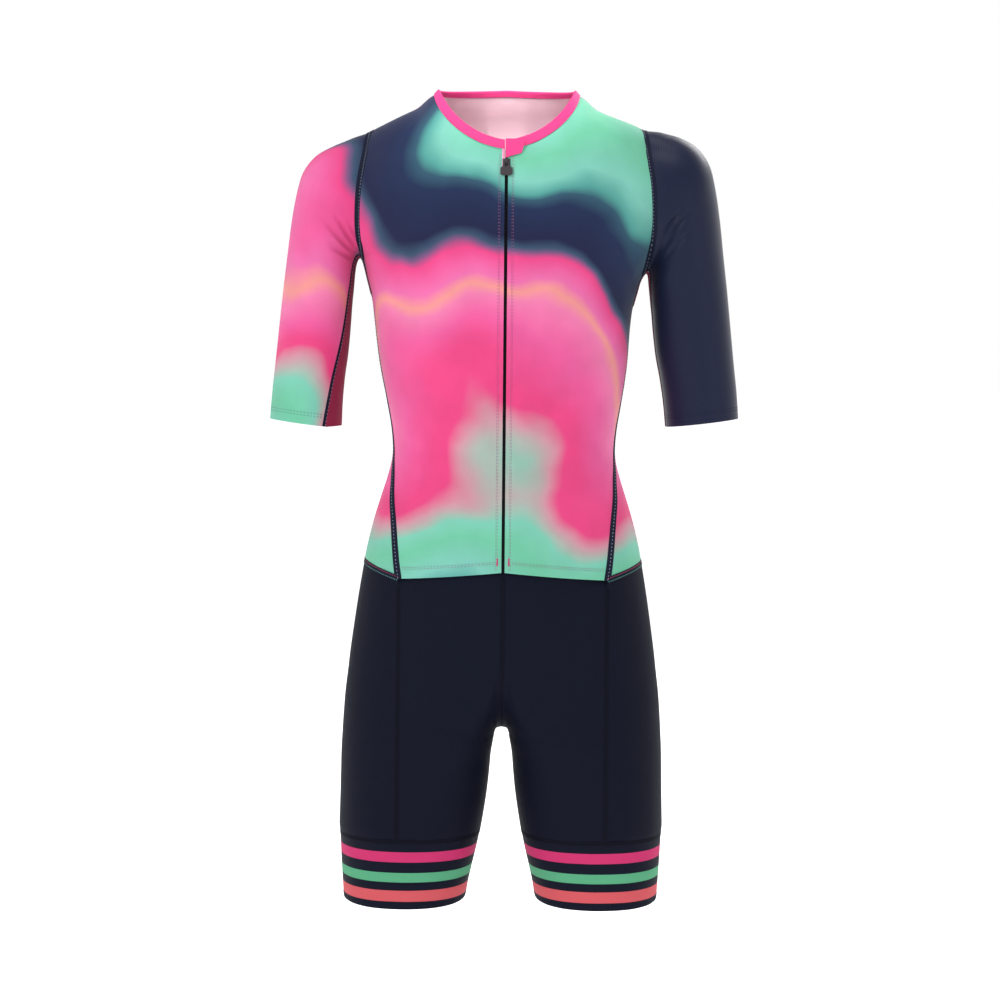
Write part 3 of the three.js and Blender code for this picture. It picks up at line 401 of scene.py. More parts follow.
# Creases by view: width and depth in mm, then the x and z of the path. Each is a soft trough
# with a lower ridge along one side.
creases = {
    "front": [
        (2.3, 2.4, [(-155, -129), (-166, -112), (-179, -90)]),
        (2.5, 2.5, [(-158, -132), (-172, -119), (-188, -100)]),
        (2.3, 2.0, [(-160, -139), (-171, -133), (-184, -126)]),
        (2.1, 1.6, [(-153, -122), (-158, -112), (-164, -99)]),
        (2.3, 2.3, [(161, -113), (172, -98), (183, -86)]),
        (2.5, 2.5, [(165, -121), (178, -103), (191, -86)]),
        (2.3, 1.9, [(168, -129), (182, -117), (195, -106)]),
        (6, 1.1, [(-112, -330), (-88, -338), (-60, -340)]),
        (6, 0.9, [(110, -322), (84, -330), (56, -331)]),
        (5, 0.8, [(-117, -352), (-98, -362), (-78, -366)]),
        (5, 0.9, [(114, -349), (95, -358), (70, -361)]),
        (7, 0.8, [(-112, -196), (-92, -206), (-66, -208)]),
        (7, 0.7, [(116, -204), (94, -213), (72, -214)]),
        (6, 1.4, [(-12, -612), (-40, -592), (-76, -580)]),
        (6, 1.4, [(12, -613), (42, -590), (72, -581)]),
        (5, 1.1, [(-22, -634), (-50, -624), (-84, -623)]),
        (5, 1.0, [(23, -636), (52, -622), (80, -619)]),
    ],
    "back": [
        (2.5, 2.3, [(-157, -128), (-169, -110), (-181, -90)]),
        (2.8, 2.3, [(-161, -135), (-175, -121), (-189, -110)]),
        (2.3, 1.6, [(-158, -116), (-164, -103), (-170, -88)]),
        (2.5, 2.2, [(158, -126), (171, -109), (184, -95)]),
        (2.9, 2.2, [(162, -135), (178, -124), (192, -114)]),
        (8, 1.9, [(-104, -318), (-52, -331), (8, -327), (64, -333)]),
        (7, 1.6, [(100, -340), (44, -351), (-22, -345)]),
        (8, 1.3, [(-108, -366), (-62, -377), (-8, -371)]),
        (6, 1.0, [(112, -374), (80, -386), (36, -388)]),
        (8, 1.1, [(-132, -70), (-104, -88), (-62, -96)]),
        (8, 1.0, [(134, -76), (102, -98), (66, -104)]),
        (7, 1.6, [(-14, -642), (-52, -630), (-102, -625)]),
        (7, 1.5, [(15, -644), (56, -631), (108, -619)]),
        (6, 1.1, [(-30, -664), (-66, -657), (-112, -653)]),
        (6, 1.0, [(32, -671), (66, -662), (102, -658)]),
    ],
}


def creaseShift(points, normals):
    shift = np.zeros(len(points))
    listed = [(view, *crease) for view, rows in creases.items() for crease in rows]
    for view, width, depth, path in listed:
        sign = -1 if view == "front" else 1
        facing = np.clip(sign * normals[:, 1] * 2.5 + 0.25, 0, 1)
        line = refine(path, 5, 0)
        flat = points[:, [0, 2]]
        nearest = np.full(len(points), 1e9)
        across, along = np.zeros(len(points)), np.zeros(len(points))
        for i, (a, b) in enumerate(zip(line, line[1:])):
            step = b - a
            share = np.clip((flat - a) @ step / (step @ step), 0, 1)
            off = flat - a - share[:, None] * step
            distance = np.hypot(off[:, 0], off[:, 1])
            closer = distance < nearest
            turn = np.sign(step[0] * off[:, 1] - step[1] * off[:, 0])
            nearest = np.where(closer, distance, nearest)
            across = np.where(closer, distance * turn, across)
            along = np.where(closer, (i + share) / (len(line) - 1), along)
        taper = np.sin(np.pi * along) ** 0.8
        ridge = 0.5 * np.exp(-(((across - 1.7 * width) / width) ** 2))
        profile = ridge - np.exp(-((across / width) ** 2))
        shift += depth * profile * taper * facing * np.exp(-((nearest / (4 * width)) ** 4))
    return shift


def settled(points, normals):
    flatPoints, flatNormals = points.reshape(-1, 3), normals.reshape(-1, 3)
    moved = flatPoints + flatNormals * creaseShift(flatPoints, flatNormals)[:, None]
    return moved.reshape(points.shape)


def colour(code):
    parts = [int(code[i:i + 2], 16) / 255 for i in (0, 2, 4)]
    return [c / 12.92 if c <= 0.04045 else ((c + 0.055) / 1.055) ** 2.4 for c in parts] + [1]


def ramp(value, start, end):
    t = min(max((value - start) / (end - start), 0), 1)
    return t * t * (3 - 2 * t)


# How the worn suit hangs: the shoulders slope, the right one more, the right cuff sits lower,
# the left armpit sits lower and further in, and the leg hems dip, most at the front and back.
# In metres.
def hang(x, y, z):
    slope = ramp(abs(x), 0.08, 0.095) * ramp(abs(x), 0.165, 0.14)
    shoulders = (0.004 * slope + 0.004 * ramp(x, -0.1, -0.14)) * ramp(z, -0.13, -0.03)
    cuff = 0.004 * ramp(x, -0.16, -0.19) * ramp(z, -0.2, -0.3)
    hem = (0.003 + 0.003 * min(abs(y) / 0.08, 1)) * ramp(z, -0.794, -0.81)
    armpit = 0.014 * ramp(abs(x - 0.15), 0.04, 0.01) * ramp(z, -0.112, -0.14)
    armpit *= ramp(z, -0.225, -0.15)
    inwards = 0.007 * ramp(abs(x - 0.157), 0.04, 0.01) * ramp(z, -0.115, -0.15)
    inwards *= ramp(z, -0.36, -0.2)
    return Vector((inwards, 0, shoulders + cuff + hem + armpit))


creaseAngle = 0.8


def finishMesh(bm, name, materials, body="suit"):
    for vert in bm.verts:
        vert.co -= hang(*vert.co)
    bmesh.ops.recalc_face_normals(bm, faces=bm.faces)
    bm.normal_update()
    for face in bm.faces:
        face.smooth = True
    for edge in bm.edges:
        edge.smooth = edge.calc_face_angle(0) < creaseAngle
    openEdges = sum(not edge.is_manifold for edge in bm.edges)
    mesh = bpy.data.meshes.new(name)
    bm.to_mesh(mesh)
    bm.free()
    for material in materials:
        mesh.materials.append(material)
    piece = bpy.data.objects.new(name, mesh)
    bpy.context.scene.collection.objects.link(piece)
    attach(piece, body)
    print(name, len(mesh.polygons), "faces, open edges", openEdges)
    return piece


def gridMesh(points, keep=None, wraps=False):
    rows, columns = points.shape[:2]
    bm = bmesh.new()
    bmesh.ops.create_grid(bm, x_segments=columns - 1, y_segments=rows - 1, size=1)
    layer = bm.loops.layers.uv.new("cloth")
    across = np.linalg.norm(np.diff(points, axis=1), axis=2).cumsum(axis=1) / 1000
    across = np.concatenate([np.zeros((rows, 1)), across], axis=1)
    across -= across[:, columns // 2:columns // 2 + 1]
    down = np.linalg.norm(np.diff(points, axis=0), axis=2).mean(axis=1).cumsum() / 1000
    down = np.concatenate([[0], down])
    place = {}
    for vert in bm.verts:
        i, j = (1 - vert.co.y) / 2 * (rows - 1), (vert.co.x + 1) / 2 * (columns - 1)
        place[vert] = (round(i), round(j))
        vert.co = points[place[vert]] / 1000
    unused = []
    for face in bm.faces:
        cells = [place[loop.vert] for loop in face.loops]
        for loop, (i, j) in zip(face.loops, cells):
            loop[layer].uv = (across[i, j], -down[i])
        if keep and not keep(min(c[0] for c in cells), min(c[1] for c in cells)):
            unused.append(face)
    bmesh.ops.delete(bm, geom=unused, context="FACES")
    if wraps:
        bmesh.ops.remove_doubles(bm, verts=bm.verts, dist=1e-6)
    return bm


def clothPiece(name, node, points, normals, materials, keep=None, wraps=False,
               thickness=1.2):
    bm = gridMesh(settled(points, normals), keep, wraps)
    bmesh.ops.recalc_face_normals(bm, faces=bm.faces)
    bm.normal_update()
    middle = np.mean([vert.co[:] for vert in bm.verts], axis=0)
    facing = sum((np.array(vert.co) - middle) @ np.array(vert.normal) * (vert.normal.z**2 < 0.5)
                 for vert in bm.verts)
    if facing < 0:
        bmesh.ops.reverse_faces(bm, faces=bm.faces)
        bm.normal_update()
    area = sum(face.calc_area() for face in bm.faces)
    made = bmesh.ops.extrude_face_region(bm, geom=bm.faces[:], use_keep_orig=True)["geom"]
    for item in made:
        if isinstance(item, bmesh.types.BMVert):
            item.co -= item.normal * thickness / 1000
        if isinstance(item, bmesh.types.BMFace):
            item.material_index = len(materials) - 1
    piece = finishMesh(bm, name, materials)
    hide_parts(node)
    print(name, "one side", round(area, 5), "m2")


# Materials
def newMaterial(name, roughness, base=None, gloss=0.1):
    material = bpy.data.materials.new(name)
    material.use_nodes = True
    shader = material.node_tree.nodes["Principled BSDF"]
    shader.inputs["Roughness"].default_value = roughness
    shader.inputs["Specular IOR Level"].default_value = gloss
    if base:
        shader.inputs["Base Color"].default_value = colour(base)
    return material, shader


def addNode(material, kind, inputs=(), stops=(), **settings):
    made = material.node_tree.nodes.new("ShaderNode" + kind)
    for key, value in settings.items():
        setattr(made, key, value)
    for key, value in dict(inputs).items():
        if isinstance(value, bpy.types.NodeSocket):
            material.node_tree.links.new(value, made.inputs[key])
        else:
            made.inputs[key].default_value = value
    if stops:
        elements = made.color_ramp.elements
        while len(elements) < len(stops):
            elements.new(1)
        for element, (position, code) in zip(elements, stops):
            element.position = position
            element.color = colour(code)
    return made


def addKnit(material, shader, stitchMm, courseMm, depthMm):
    cloth = addNode(material, "UVMap", uv_map="cloth").outputs["UV"]
    parts = addNode(material, "SeparateXYZ", {"Vector": cloth})
    waves = []
    for axis, pitch in (("X", stitchMm), ("Y", courseMm)):
        turn = addNode(material, "Math", {0: parts.outputs[axis], 1: 2 * math.pi * 1000 / pitch},
                       operation="MULTIPLY")
        waves.append(addNode(material, "Math", {0: turn.outputs[0]}, operation="SINE").outputs[0])
    height = addNode(material, "Math", {0: waves[0], 1: waves[1]}, operation="MULTIPLY")
    bump = addNode(material, "Bump", {"Height": height.outputs[0], "Distance": depthMm / 1000,
                                      "Strength": 0.6})
    material.node_tree.links.new(bump.outputs["Normal"], shader.inputs["Normal"])


def printedJersey(name, stops, roughness):
    material, shader = newMaterial(name, roughness)
    place = addNode(material, "TexCoord").outputs["Object"]
    phase = addNode(material, "VectorMath", {0: place, 1: (1.15, 0.55, 1.75)}, operation="DOT_PRODUCT")
    value = phase.outputs["Value"]
    for scale, detail, reach in ((4.0, 1, 1.15), (11, 2, 0.16)):
        drift = addNode(material, "TexNoise", {"Vector": place, "Scale": scale, "Detail": detail})
        value = addNode(material, "Math", {0: drift.outputs["Fac"], 1: reach, 2: value},
                        operation="MULTIPLY_ADD").outputs[0]
    turn = addNode(material, "Math", {0: value}, operation="FRACT")
    wash = addNode(material, "ValToRGB", {"Fac": turn.outputs[0]}, stops)
    grain = addNode(material, "TexNoise", {"Vector": place, "Scale": 26, "Detail": 6})
    shade = addNode(material, "MapRange", {"Value": grain.outputs["Fac"], "From Min": 0.3,
                                           "From Max": 0.7, "To Min": 0.92, "To Max": 1.04})
    dye = addNode(material, "VectorMath", {0: wash.outputs["Color"], "Scale": shade.outputs["Result"]},
                  operation="SCALE")
    material.node_tree.links.new(dye.outputs[0], shader.inputs["Base Color"])
    shader.inputs["Sheen Weight"].default_value = 0.1
    addKnit(material, shader, 1.2, 0.9, 0.12)
    return material


def plainKnit(name, roughness, base, stitchMm, courseMm, depthMm, gloss=0.1):
    material, shader = newMaterial(name, roughness, base, gloss)
    addKnit(material, shader, stitchMm, courseMm, depthMm)
    return material


# Polyester-elastane warp knit, dye-sublimation printed with soft diagonal bands that drift
printStops = [(0.0, "D03F76"), (0.08, "D2548D"), (0.17, "D6709C"), (0.21, "D98A84"),
              (0.25, "D2639A"), (0.34, "CF3E79"), (0.365, "6E4A72"), (0.38, "33475F"),
              (0.41, "181D3C"), (0.54, "1A2747"), (0.59, "2C4D5F"), (0.62, "4A8F88"),
              (0.68, "70B2A3"), (0.8, "63AF8F"), (0.87, "6FB5A0"), (0.93, "B98793"), (0.97, "D03F76")]
printedCloth = printedJersey("printed_warp_knit", printStops, 0.7)
# The same knit's reverse, where the dye shows through pale
paleReverse = plainKnit("knit_reverse", 0.8, "FFDCE6", 1.2, 0.9, 0.12)
# Open navy sleeve mesh: small round holes on a 1.8 mm lattice, with a satin sheen
navyMesh, shader = newMaterial("navy_sleeve_mesh", 0.45, gloss=0.14)
cloth = addNode(navyMesh, "UVMap", uv_map="cloth").outputs["UV"]
holes = addNode(navyMesh, "TexVoronoi", {"Vector": cloth, "Scale": 1 / 0.0018, "Randomness": 0.0})
dark = addNode(navyMesh, "ValToRGB", {"Fac": holes.outputs["Distance"]},
               [(0.2, "090C1E"), (0.34, "161C35")])
navyMesh.node_tree.links.new(dark.outputs["Color"], shader.inputs["Base Color"])
shader.inputs["Sheen Weight"].default_value = 0.1
shader.inputs["Sheen Roughness"].default_value = 0.4
# Compression knit of the shorts, dyed navy
navyKnit = plainKnit("navy_compression_knit", 0.62, "0E111F", 0.9, 0.7, 0.08, 0.05)
# Crimson jersey under the arms
crimsonKnit = plainKnit("crimson_jersey", 0.7, "7E2440", 1.2, 0.9, 0.1)
# Folded pink binding tape
pinkTape = plainKnit("pink_binding_knit", 0.65, "D23C78", 1.0, 0.8, 0.08)
# Threads by the rows that they sew, and the flatlock seams' own navy ones
threads = {"thread_grey": newMaterial("grey_navy_thread", 0.65, "7F8A98")[0],
           "thread_navy": newMaterial("navy_flatlock_thread", 0.7, "121628")[0],
           "thread_cuff_right": newMaterial("plum_thread", 0.65, "4A3560")[0],
           "thread_coral": newMaterial("coral_thread", 0.6, "C4485E")[0],
           "thread_mint": newMaterial("mint_thread", 0.6, "5FAE90")[0],
           "thread_mauve": newMaterial("mauve_thread", 0.65, "8A5478")[0],
           "thread_pink": newMaterial("pink_thread", 0.6, "C23070")[0]}
navyThread = threads["thread_cuff_left"] = threads["thread_navy"]
shortsThread = newMaterial("dark_navy_thread", 0.7, "0B0D18", 0.05)[0]
paleFacing = newMaterial("pale_pink_facing", 0.65, "E08DAE")[0]
# Leg band: the navy knit dyed with three stripes by height
bandKnit, shader = newMaterial("striped_leg_band", 0.6, gloss=0.05)
height = addNode(bandKnit, "SeparateXYZ", {0: addNode(bandKnit, "TexCoord").outputs["Object"]})
dyeDepth = 68
share = addNode(bandKnit, "MapRange", {"Value": height.outputs["Z"], "From Min": bandSeamZ / 1000,
                                       "From Max": (bandSeamZ - dyeDepth) / 1000})
stripes = [("0F1220", bandSeamZ), ("B63062", -755), ("0F1220", -766), ("509772", -777),
           ("0F1220", -787.2), ("BC5057", -796), ("0F1220", -807.5)]
dye = addNode(bandKnit, "ValToRGB", {"Fac": share.outputs["Result"]},
              [((bandSeamZ - z) / dyeDepth, code) for code, z in stripes])
dye.color_ramp.interpolation = "CONSTANT"
bandKnit.node_tree.links.new(dye.outputs["Color"], shader.inputs["Base Color"])
addKnit(bandKnit, shader, 0.9, 0.7, 0.08)
# Zip: woven black tape, nylon coil, moulded dark grey slider and pull
zipWeave = newMaterial("black_zip_tape", 0.8, "15151A")[0]
zipNylon = newMaterial("black_nylon_coil", 0.45, "0E0E12")[0]
zipPlastic = newMaterial("dark_grey_slider", 0.42, "3A3639")[0]
print("materials made")


# Signs that turn the left side's grids into each side's, and the steps that refining makes
# between two rows or columns
mirror = {"left": np.array([1, 1, 1]), "right": np.array([-1, 1, 1])}
rowSteps, columnSteps = 4, 5


def gridOf(spots):
    return np.array([[bodyPoint(spot) for spot in row] for row in spots])


# Front panels, from the zip to the side seam, either side of the zip
frontGrid = refine(refine(gridOf(frontSpots()), rowSteps, 0), columnSteps, 1)
frontNormals = gridNormals(frontGrid, 0)
frontEdge, frontGusset = frontColumns * columnSteps, gussetRowFront * rowSteps


def keepFront(i, j):
    return j < frontEdge or i >= frontGusset


# Each piece prints the area of one side, in square metres
for side, sign in mirror.items():
    clothPiece("cloth_front_" + side, "front_" + side, frontGrid * sign,
               frontNormals * sign, [printedCloth, paleReverse], keepFront)

# Back panel, whole
halfBack = gridOf(backSpots())
backWhole = np.concatenate([halfBack, halfBack[:, -2::-1] * mirror["right"]], axis=1)
backGrid = refine(refine(backWhole, rowSteps, 0), columnSteps, 1)
backNormals = gridNormals(backGrid, 0)


def keepBack(i, j):
    return i >= gussetRowBack * rowSteps or columnSteps <= j < (2 * backColumns - 1) * columnSteps


clothPiece("cloth_back", "back", backGrid, backNormals,
           [printedCloth, paleReverse], keepBack)

# Sleeves and underarm strips share one grid on each side. The middle of a sleeve is 190 mm
# from the suit's middle.
sleeves = {}
ringSteps, roundSteps, sleeveMiddle = 7, 6, 190


def keepSleeve(i, j):
    return j < stripFront * roundSteps or j >= stripBack * roundSteps


def gussetSpot(i, k):
    end = mix(gussetFront, gussetBack, (k - stripFront) / (stripBack - stripFront))
    return mix(armholeSpot(k), end, i / gussetRows)


gussetSpots = [[gussetSpot(i, k) for k in range(stripFront, stripBack + 1)]
               for i in range(gussetRows, 0, -1)]
sleeveLooks = {"right": ("printed_jersey", [printedCloth, paleReverse]),
               "left": ("navy_mesh", [navyMesh, navyMesh])}
for side, (slot, materials) in sleeveLooks.items():
    sign = mirror[side]
    coarse = sleeveGrid(side) * (-sign[0], 1, 1)
    fine = refine(refine(coarse, ringSteps, 0), roundSteps, 1, wraps=True)
    normals = gridNormals(fine, sleeveMiddle * sign[0], wraps=True)
    sleeves[side] = (fine, normals)
    clothPiece("cloth_sleeve_" + side, "sleeve_" + side, fine, normals, materials,
               keepSleeve, wraps=True)
    strip = np.concatenate([gridOf(gussetSpots) * sign, coarse[:, stripFront:stripBack + 1]])
    fine = refine(refine(strip, columnSteps, 0), columnSteps, 1)
    clothPiece("cloth_underarm_" + side, "underarm_" + side, fine,
               gridNormals(fine, sleeveMiddle * sign[0]), [crimsonKnit])
print("top made")

# Shorts, the left half, then mirrored. The front runs up inside the free front hem. The
# normals of a grid point away from an upright axis: of the hip, the thigh or the leg band.
hipAxis, thighAxis, bandAxis, shortsSteps = 60, 80, 95, 4
levels = lowerLevels()
shortsRows = np.array([[shortsPoint(*level, j) for j in range(lastColumn + 1)] for level in levels])
hemFades = [0.9, 0.6, 0.3, 0.1]
frontRows = shortsRows[:, :seamColumn + 1].copy()
coarseNormals = gridNormals(frontRows, thighAxis)
for i, fade in enumerate(hemFades):
    for j in range(seamColumn + 1):
        inset = flapInset * fade * min((seamColumn - j) / 2, 1)
        frontRows[i, j] -= coarseNormals[i, j] * inset
flapRows, flapLevels = [], [-415, -440, -466]
for z in flapLevels:
    row = [shortsPoint(z, z, 0, False, j) for j in range(seamColumn + 1)]
    flapRows.append([p - bodyNormal((z, math.atan2(p[0], -p[1]))) * flapInset for p in row])
frontRows = np.concatenate([np.array(flapRows), frontRows])
frontShorts = refine(refine(frontRows, shortsSteps, 0), shortsSteps, 1)
flapLast = len(flapLevels) * shortsSteps
frontLast = flapLast + archEndRow * shortsSteps
backTop = []
for j in range(seamColumn, lastColumn + 1):
    p = shortsPoint(hemCornerZ, hemCornerZ, 0, False, j)
    angle = math.atan2(p[0], -p[1])
    backTop.append(bodyPoint((waistSeamZ(angle) - 2 * seamGap, angle)))
backTop[-1][0] = seamGap / 2
backRows = np.concatenate([[backTop], shortsRows[:, seamColumn:]])
backShorts = refine(refine(backRows, shortsSteps, 0), shortsSteps, 1)
backLast = (archEndRow + 1) * shortsSteps
backEdge = (lastColumn - seamColumn - archColumns) * shortsSteps
frontShortsOut, backShortsOut = gridNormals(frontShorts, hipAxis), gridNormals(backShorts, hipAxis)
bandRows = [[ringPoint(mix(bandSeamZ - seamGap, legHemZ, t), 1, j + archColumns)
             for j in range(lastColumn - 2 * archColumns)] for t in steps(4)]
bandGrid = refine(refine(bandRows, rowSteps, 0), columnSteps, 1, wraps=True)


def keepShortsFront(i, j):
    return j >= archColumns * shortsSteps or i < frontLast


def keepShortsBack(i, j):
    return j < backEdge or i < backLast


for side, sign in mirror.items():
    clothPiece("cloth_shorts_front_" + side, "shorts_front_" + side,
               frontShorts * sign, frontShortsOut * sign, [navyKnit], keepShortsFront)
    clothPiece("cloth_shorts_back_" + side, "shorts_back_" + side,
               backShorts * sign, backShortsOut * sign, [navyKnit], keepShortsBack)
    clothPiece("cloth_band_" + side, "leg_band_" + side, bandGrid * sign,
               gridNormals(bandGrid * sign, bandAxis * sign[0], wraps=True), [bandKnit], wraps=True)
print("shorts made")

# Neck binding: knit tape folded over the neckline, from zip edge to zip edge, lower at the back
neckSpots = [necklineSpot(1 - v) for v in steps(12)]
neckSpots += [mix(spotAt(neckPointZ, math.pi / 2), spotAt(neckBackZ, math.pi), v)
              for v in steps(12)[1:]]
neckLine = np.array([bodyPoint(spot) for spot in neckSpots])
neckOut = np.array([bodyNormal(spot) for spot in neckSpots])
neckFold = [(0.3, 0.55), (4, 0.6), (8.2, 0.55), (9.5, 0.25), (10, -0.5), (9.5, -1.2), (8.2, -1.5),
            (4, -1.55), (0.3, -1.5)]
neckRows, neckOuts = [], []
for j, (p, normal) in enumerate(zip(neckLine, neckOut)):
    along = neckLine[min(j + 1, len(neckLine) - 1)] - neckLine[max(j - 1, 0)]
    if j == len(neckLine) - 1:
        along = np.array([-1.0, 0, 0])
    up = np.cross(normal, along)
    up = up / np.linalg.norm(up) * np.sign(up[2])
    up[2] += 0.45
    up /= np.linalg.norm(up)
    out = np.cross(along, up)
    out *= np.sign(out @ normal) / np.linalg.norm(out)
    height = mix(1, 0.66, ramp(j, 5, 12.5))
    row = [p + up * rise * height + out * depth for rise, depth in neckFold]
    if j == 0:
        row = [q * (0, 1, 1) + (zipGap / 2, 0, 0) for q in row]
    neckRows.append(row)
    neckOuts.append(out)
neckHalf = np.array(neckRows)
neckWhole = np.concatenate([neckHalf, neckHalf[-2::-1] * mirror["right"]])
neckGrid = refine(refine(neckWhole, 2, 0), 2, 1)
clothPiece("cloth_neck_binding", "neck_binding", neckGrid, neckGrid * 0,
           [pinkTape], thickness=0.4)

# Garage: a small pink flap folded over the top of the zip, longer beside the zip
garageRows = [(-17.5, -17.5, 18.5, 4.4), (-24, -22, 17.8, 3.5), (-30.5, -26.5, 16.7, 2.4),
              (-36.2, -31, 15.4, 1.9)]
garage = []
for leftZ, rightZ, right, proud in garageRows:
    row = []
    for t in steps(4):
        x, z = mix(-1, right, t), mix(leftZ, rightZ, t)
        spot = (z, math.copysign(bodyAngle(z, abs(x), "front"), x))
        row.append(bodyPoint(spot) + bodyNormal(spot) * proud)
    garage.append(row)
garageGrid = refine(refine(garage, rowSteps, 0), rowSteps, 1)
clothPiece("cloth_zip_garage", "zip_garage", garageGrid,
           garageGrid * 0, [pinkTape])

# Zip tape behind the two edges
tapeRows, tapeTopZ, tapeHalf = [], -29, 9
for t in steps(60):
    z = mix(tapeTopZ, hemFrontZ, t)
    out = bodyNormal((z, 0)) * (0, 1, 1)
    edge, far = (bodyPoint(frontSpot(z, x)) for x in (zipGap / 2, tapeHalf))
    tapeRows.append([np.array([x, far[1] if abs(x) == tapeHalf else edge[1], z]) - out * 1.6
                     for x in (-tapeHalf, -4, 0, 4, tapeHalf)])
tape = np.array(tapeRows)
clothPiece("cloth_zip_tape", "zip_tape", tape, tape * 0, [zipWeave],
           thickness=0.6)
print("neck and zip tape made")


# Seams: flat strips of flatlock stitching that follow the joins, and rows of single stitches.
# Half of a strip follows sides where they are given: at the armhole it runs down the sleeve.
def unit(vectors):
    return vectors / np.maximum(np.linalg.norm(vectors, axis=-1, keepdims=True), 1e-9)


def seamStrip(name, points, normals, width, rise, material, sides=None):
    normals = unit(np.array(normals, float))
    points = settled(np.array(points, float), normals)
    along = unit(np.gradient(points, axis=0))
    first = unit(np.cross(normals, along))
    second = -first if sides is None else unit(sides - (sides * along).sum(1, keepdims=True) * along)
    if sides is not None:
        first = first * np.sign(-(first * second).sum(1, keepdims=True))
    firstOut, secondOut = np.cross(along, first), np.cross(along, second)
    firstOut *= np.sign((firstOut * normals).sum(1, keepdims=True))
    secondOut *= np.sign((secondOut * normals).sum(1, keepdims=True))
    profile = [(-1, -0.25), (-1, 0.12), (-0.82, rise), (-0.16, rise), (0, rise * 0.5), (0.16, rise),
               (0.82, rise), (1, 0.12), (1, -0.25), (-1, -0.25)]
    rows = []
    for place, out in profile:
        side = first if place < 0 else second
        lift = unit((firstOut if place < 0 else secondOut) * abs(place) + normals * (1 - abs(place)))
        rows.append(points + side * abs(place) * width / 2 + lift * out)
    bm = gridMesh(np.array(rows))
    bmesh.ops.remove_doubles(bm, verts=bm.verts, dist=1e-6)
    ends = [edge for edge in bm.edges if edge.is_boundary]
    bmesh.ops.holes_fill(bm, edges=ends, sides=0)
    finishMesh(bm, name, [material])


threadRows = {}


def stitchRow(group, points, normals, pitch, length, thick, shift=0.0):
    normals = unit(np.array(normals, float))
    points = settled(np.array(points, float), normals)
    if shift:
        along = unit(np.gradient(points, axis=0))
        points = points + np.cross(normals, along) * shift
    reach = np.concatenate([[0], np.linalg.norm(np.diff(points, axis=0), axis=1).cumsum()])
    bm = threadRows.setdefault(group, bmesh.new())
    count = max(int(reach[-1] / pitch), 1)
    for i in range(count):
        at = (i + 0.5) * reach[-1] / count
        ends = [np.array([np.interp(at + step, reach, column) for column in points.T])
                for step in (-length / 2, length / 2)]
        out = np.array([np.interp(at, reach, column) for column in normals.T])
        along = unit(ends[1] - ends[0])
        side = unit(np.cross(out, along))
        out = np.cross(along, side)
        matrix = Matrix.Identity(4)
        middle = (ends[0] + ends[1]) / 2 + out * thick * 0.3
        for row in range(3):
            matrix[row][0] = along[row] * length / 2000
            matrix[row][1] = side[row] * thick / 1000
            matrix[row][2] = out[row] * thick / 1000
            matrix[row][3] = middle[row] / 1000
        bmesh.ops.create_icosphere(bm, subdivisions=1, radius=1, matrix=matrix)


def spotLine(spots, sign):
    points, normals = zip(*[(bodyPoint(spot), bodyNormal(spot)) for spot in spots])
    return np.array(points) * sign, np.array(normals) * sign


def topSeams(side, sign):
    fine, sleeveNormals = sleeves[side]
    start, end = stripBack * roundSteps, (armholeSteps + stripFront) * roundSteps
    order = [k % (armholeSteps * roundSteps) for k in range(start, end + 1)]
    points, bodyOut = spotLine([armholeSpot(k / roundSteps) for k in order], sign)
    outwards = fine[1, order] - fine[0, order]
    normals = unit(unit(bodyOut) + unit(sleeveNormals[1, order]))
    seamStrip("seam_armhole_" + side, points, normals, 9, 0.45, navyThread, outwards)
    stitchRow("thread_grey", points + normals * 0.4, normals, 3.8, 2.0, 0.42)
    for edge, column, spot in (("front", stripFront, gussetFront), ("back", stripBack, gussetBack)):
        down, downOut = spotLine([mix(spot, armholeSpot(column), t) for t in steps(12)[:-1]], sign)
        path = np.concatenate([down, fine[:, column * roundSteps]])
        out = np.concatenate([downOut, sleeveNormals[:, column * roundSteps]])
        seamStrip("seam_underarm_" + edge + "_" + side, path, out, 7.4, 0.4, navyThread)
        stitchRow("thread_grey", path + unit(out) * 0.35, out, 3.8, 2.0, 0.36)
    line, out = spotLine([mix(gussetFront, gussetBack, t) for t in steps(6)], sign)
    seamStrip("seam_gusset_" + side, line, out, 5.6, 0.4, navyThread)
    heights = np.linspace(gussetEndZ, hemCornerZ - 1, 70)
    line, out = spotLine([spotAt(z, sideSeamAngle(z)) for z in heights], sign)
    seamStrip("seam_side_" + side, line, out, 8.2, 0.45, navyThread)
    stitchRow("thread_grey", line + out * 0.4, out, 3.8, 2.0, 0.4)
    heights = [mix(neckPointZ - 1, armholeTop, t) for t in steps(16)]
    line, out = spotLine([spotAt(z, math.pi / 2) for z in heights], sign)
    seamStrip("seam_shoulder_" + side, line, out, 4, 0.3, threads["thread_pink"])
    for share in (2.6, 3.4):
        row = len(fine) - 1 - int(share)
        ring = mix(fine[row], fine[row - 1], share % 1)
        stitchRow("thread_cuff_" + side, ring, sleeveNormals[-2], 3.6, 2.4, 0.28)
    for rise in (9.5, 11.5):
        low = frontSpot(hemFrontZ, zipGap / 2)
        corner = spotAt(hemCornerZ, sideSeamAngle(hemCornerZ))
        spots = [mix(low, corner, u) + spotAt(rise, 0) for u in np.linspace(0.03, 0.98, 40)]
        line, out = spotLine(spots, sign)
        stitchRow("thread_mauve", line, out, 3.6, 2.4, 0.26)
    for x in (6.2, 7.6):
        spots = [frontSpot(z, x) for z in np.linspace(-31, hemFrontZ + 2, 90)]
        line, out = spotLine(spots, sign)
        stitchRow("thread_mauve", line, out, 3.4, 2.2, 0.24)
    for x in (5.4, 5.9, 6.4):
        tack, out = spotLine([frontSpot(z, x) for z in (-446, -454)], sign)
        stitchRow("thread_pink", tack, out, 1.1, 1.4, 0.34)


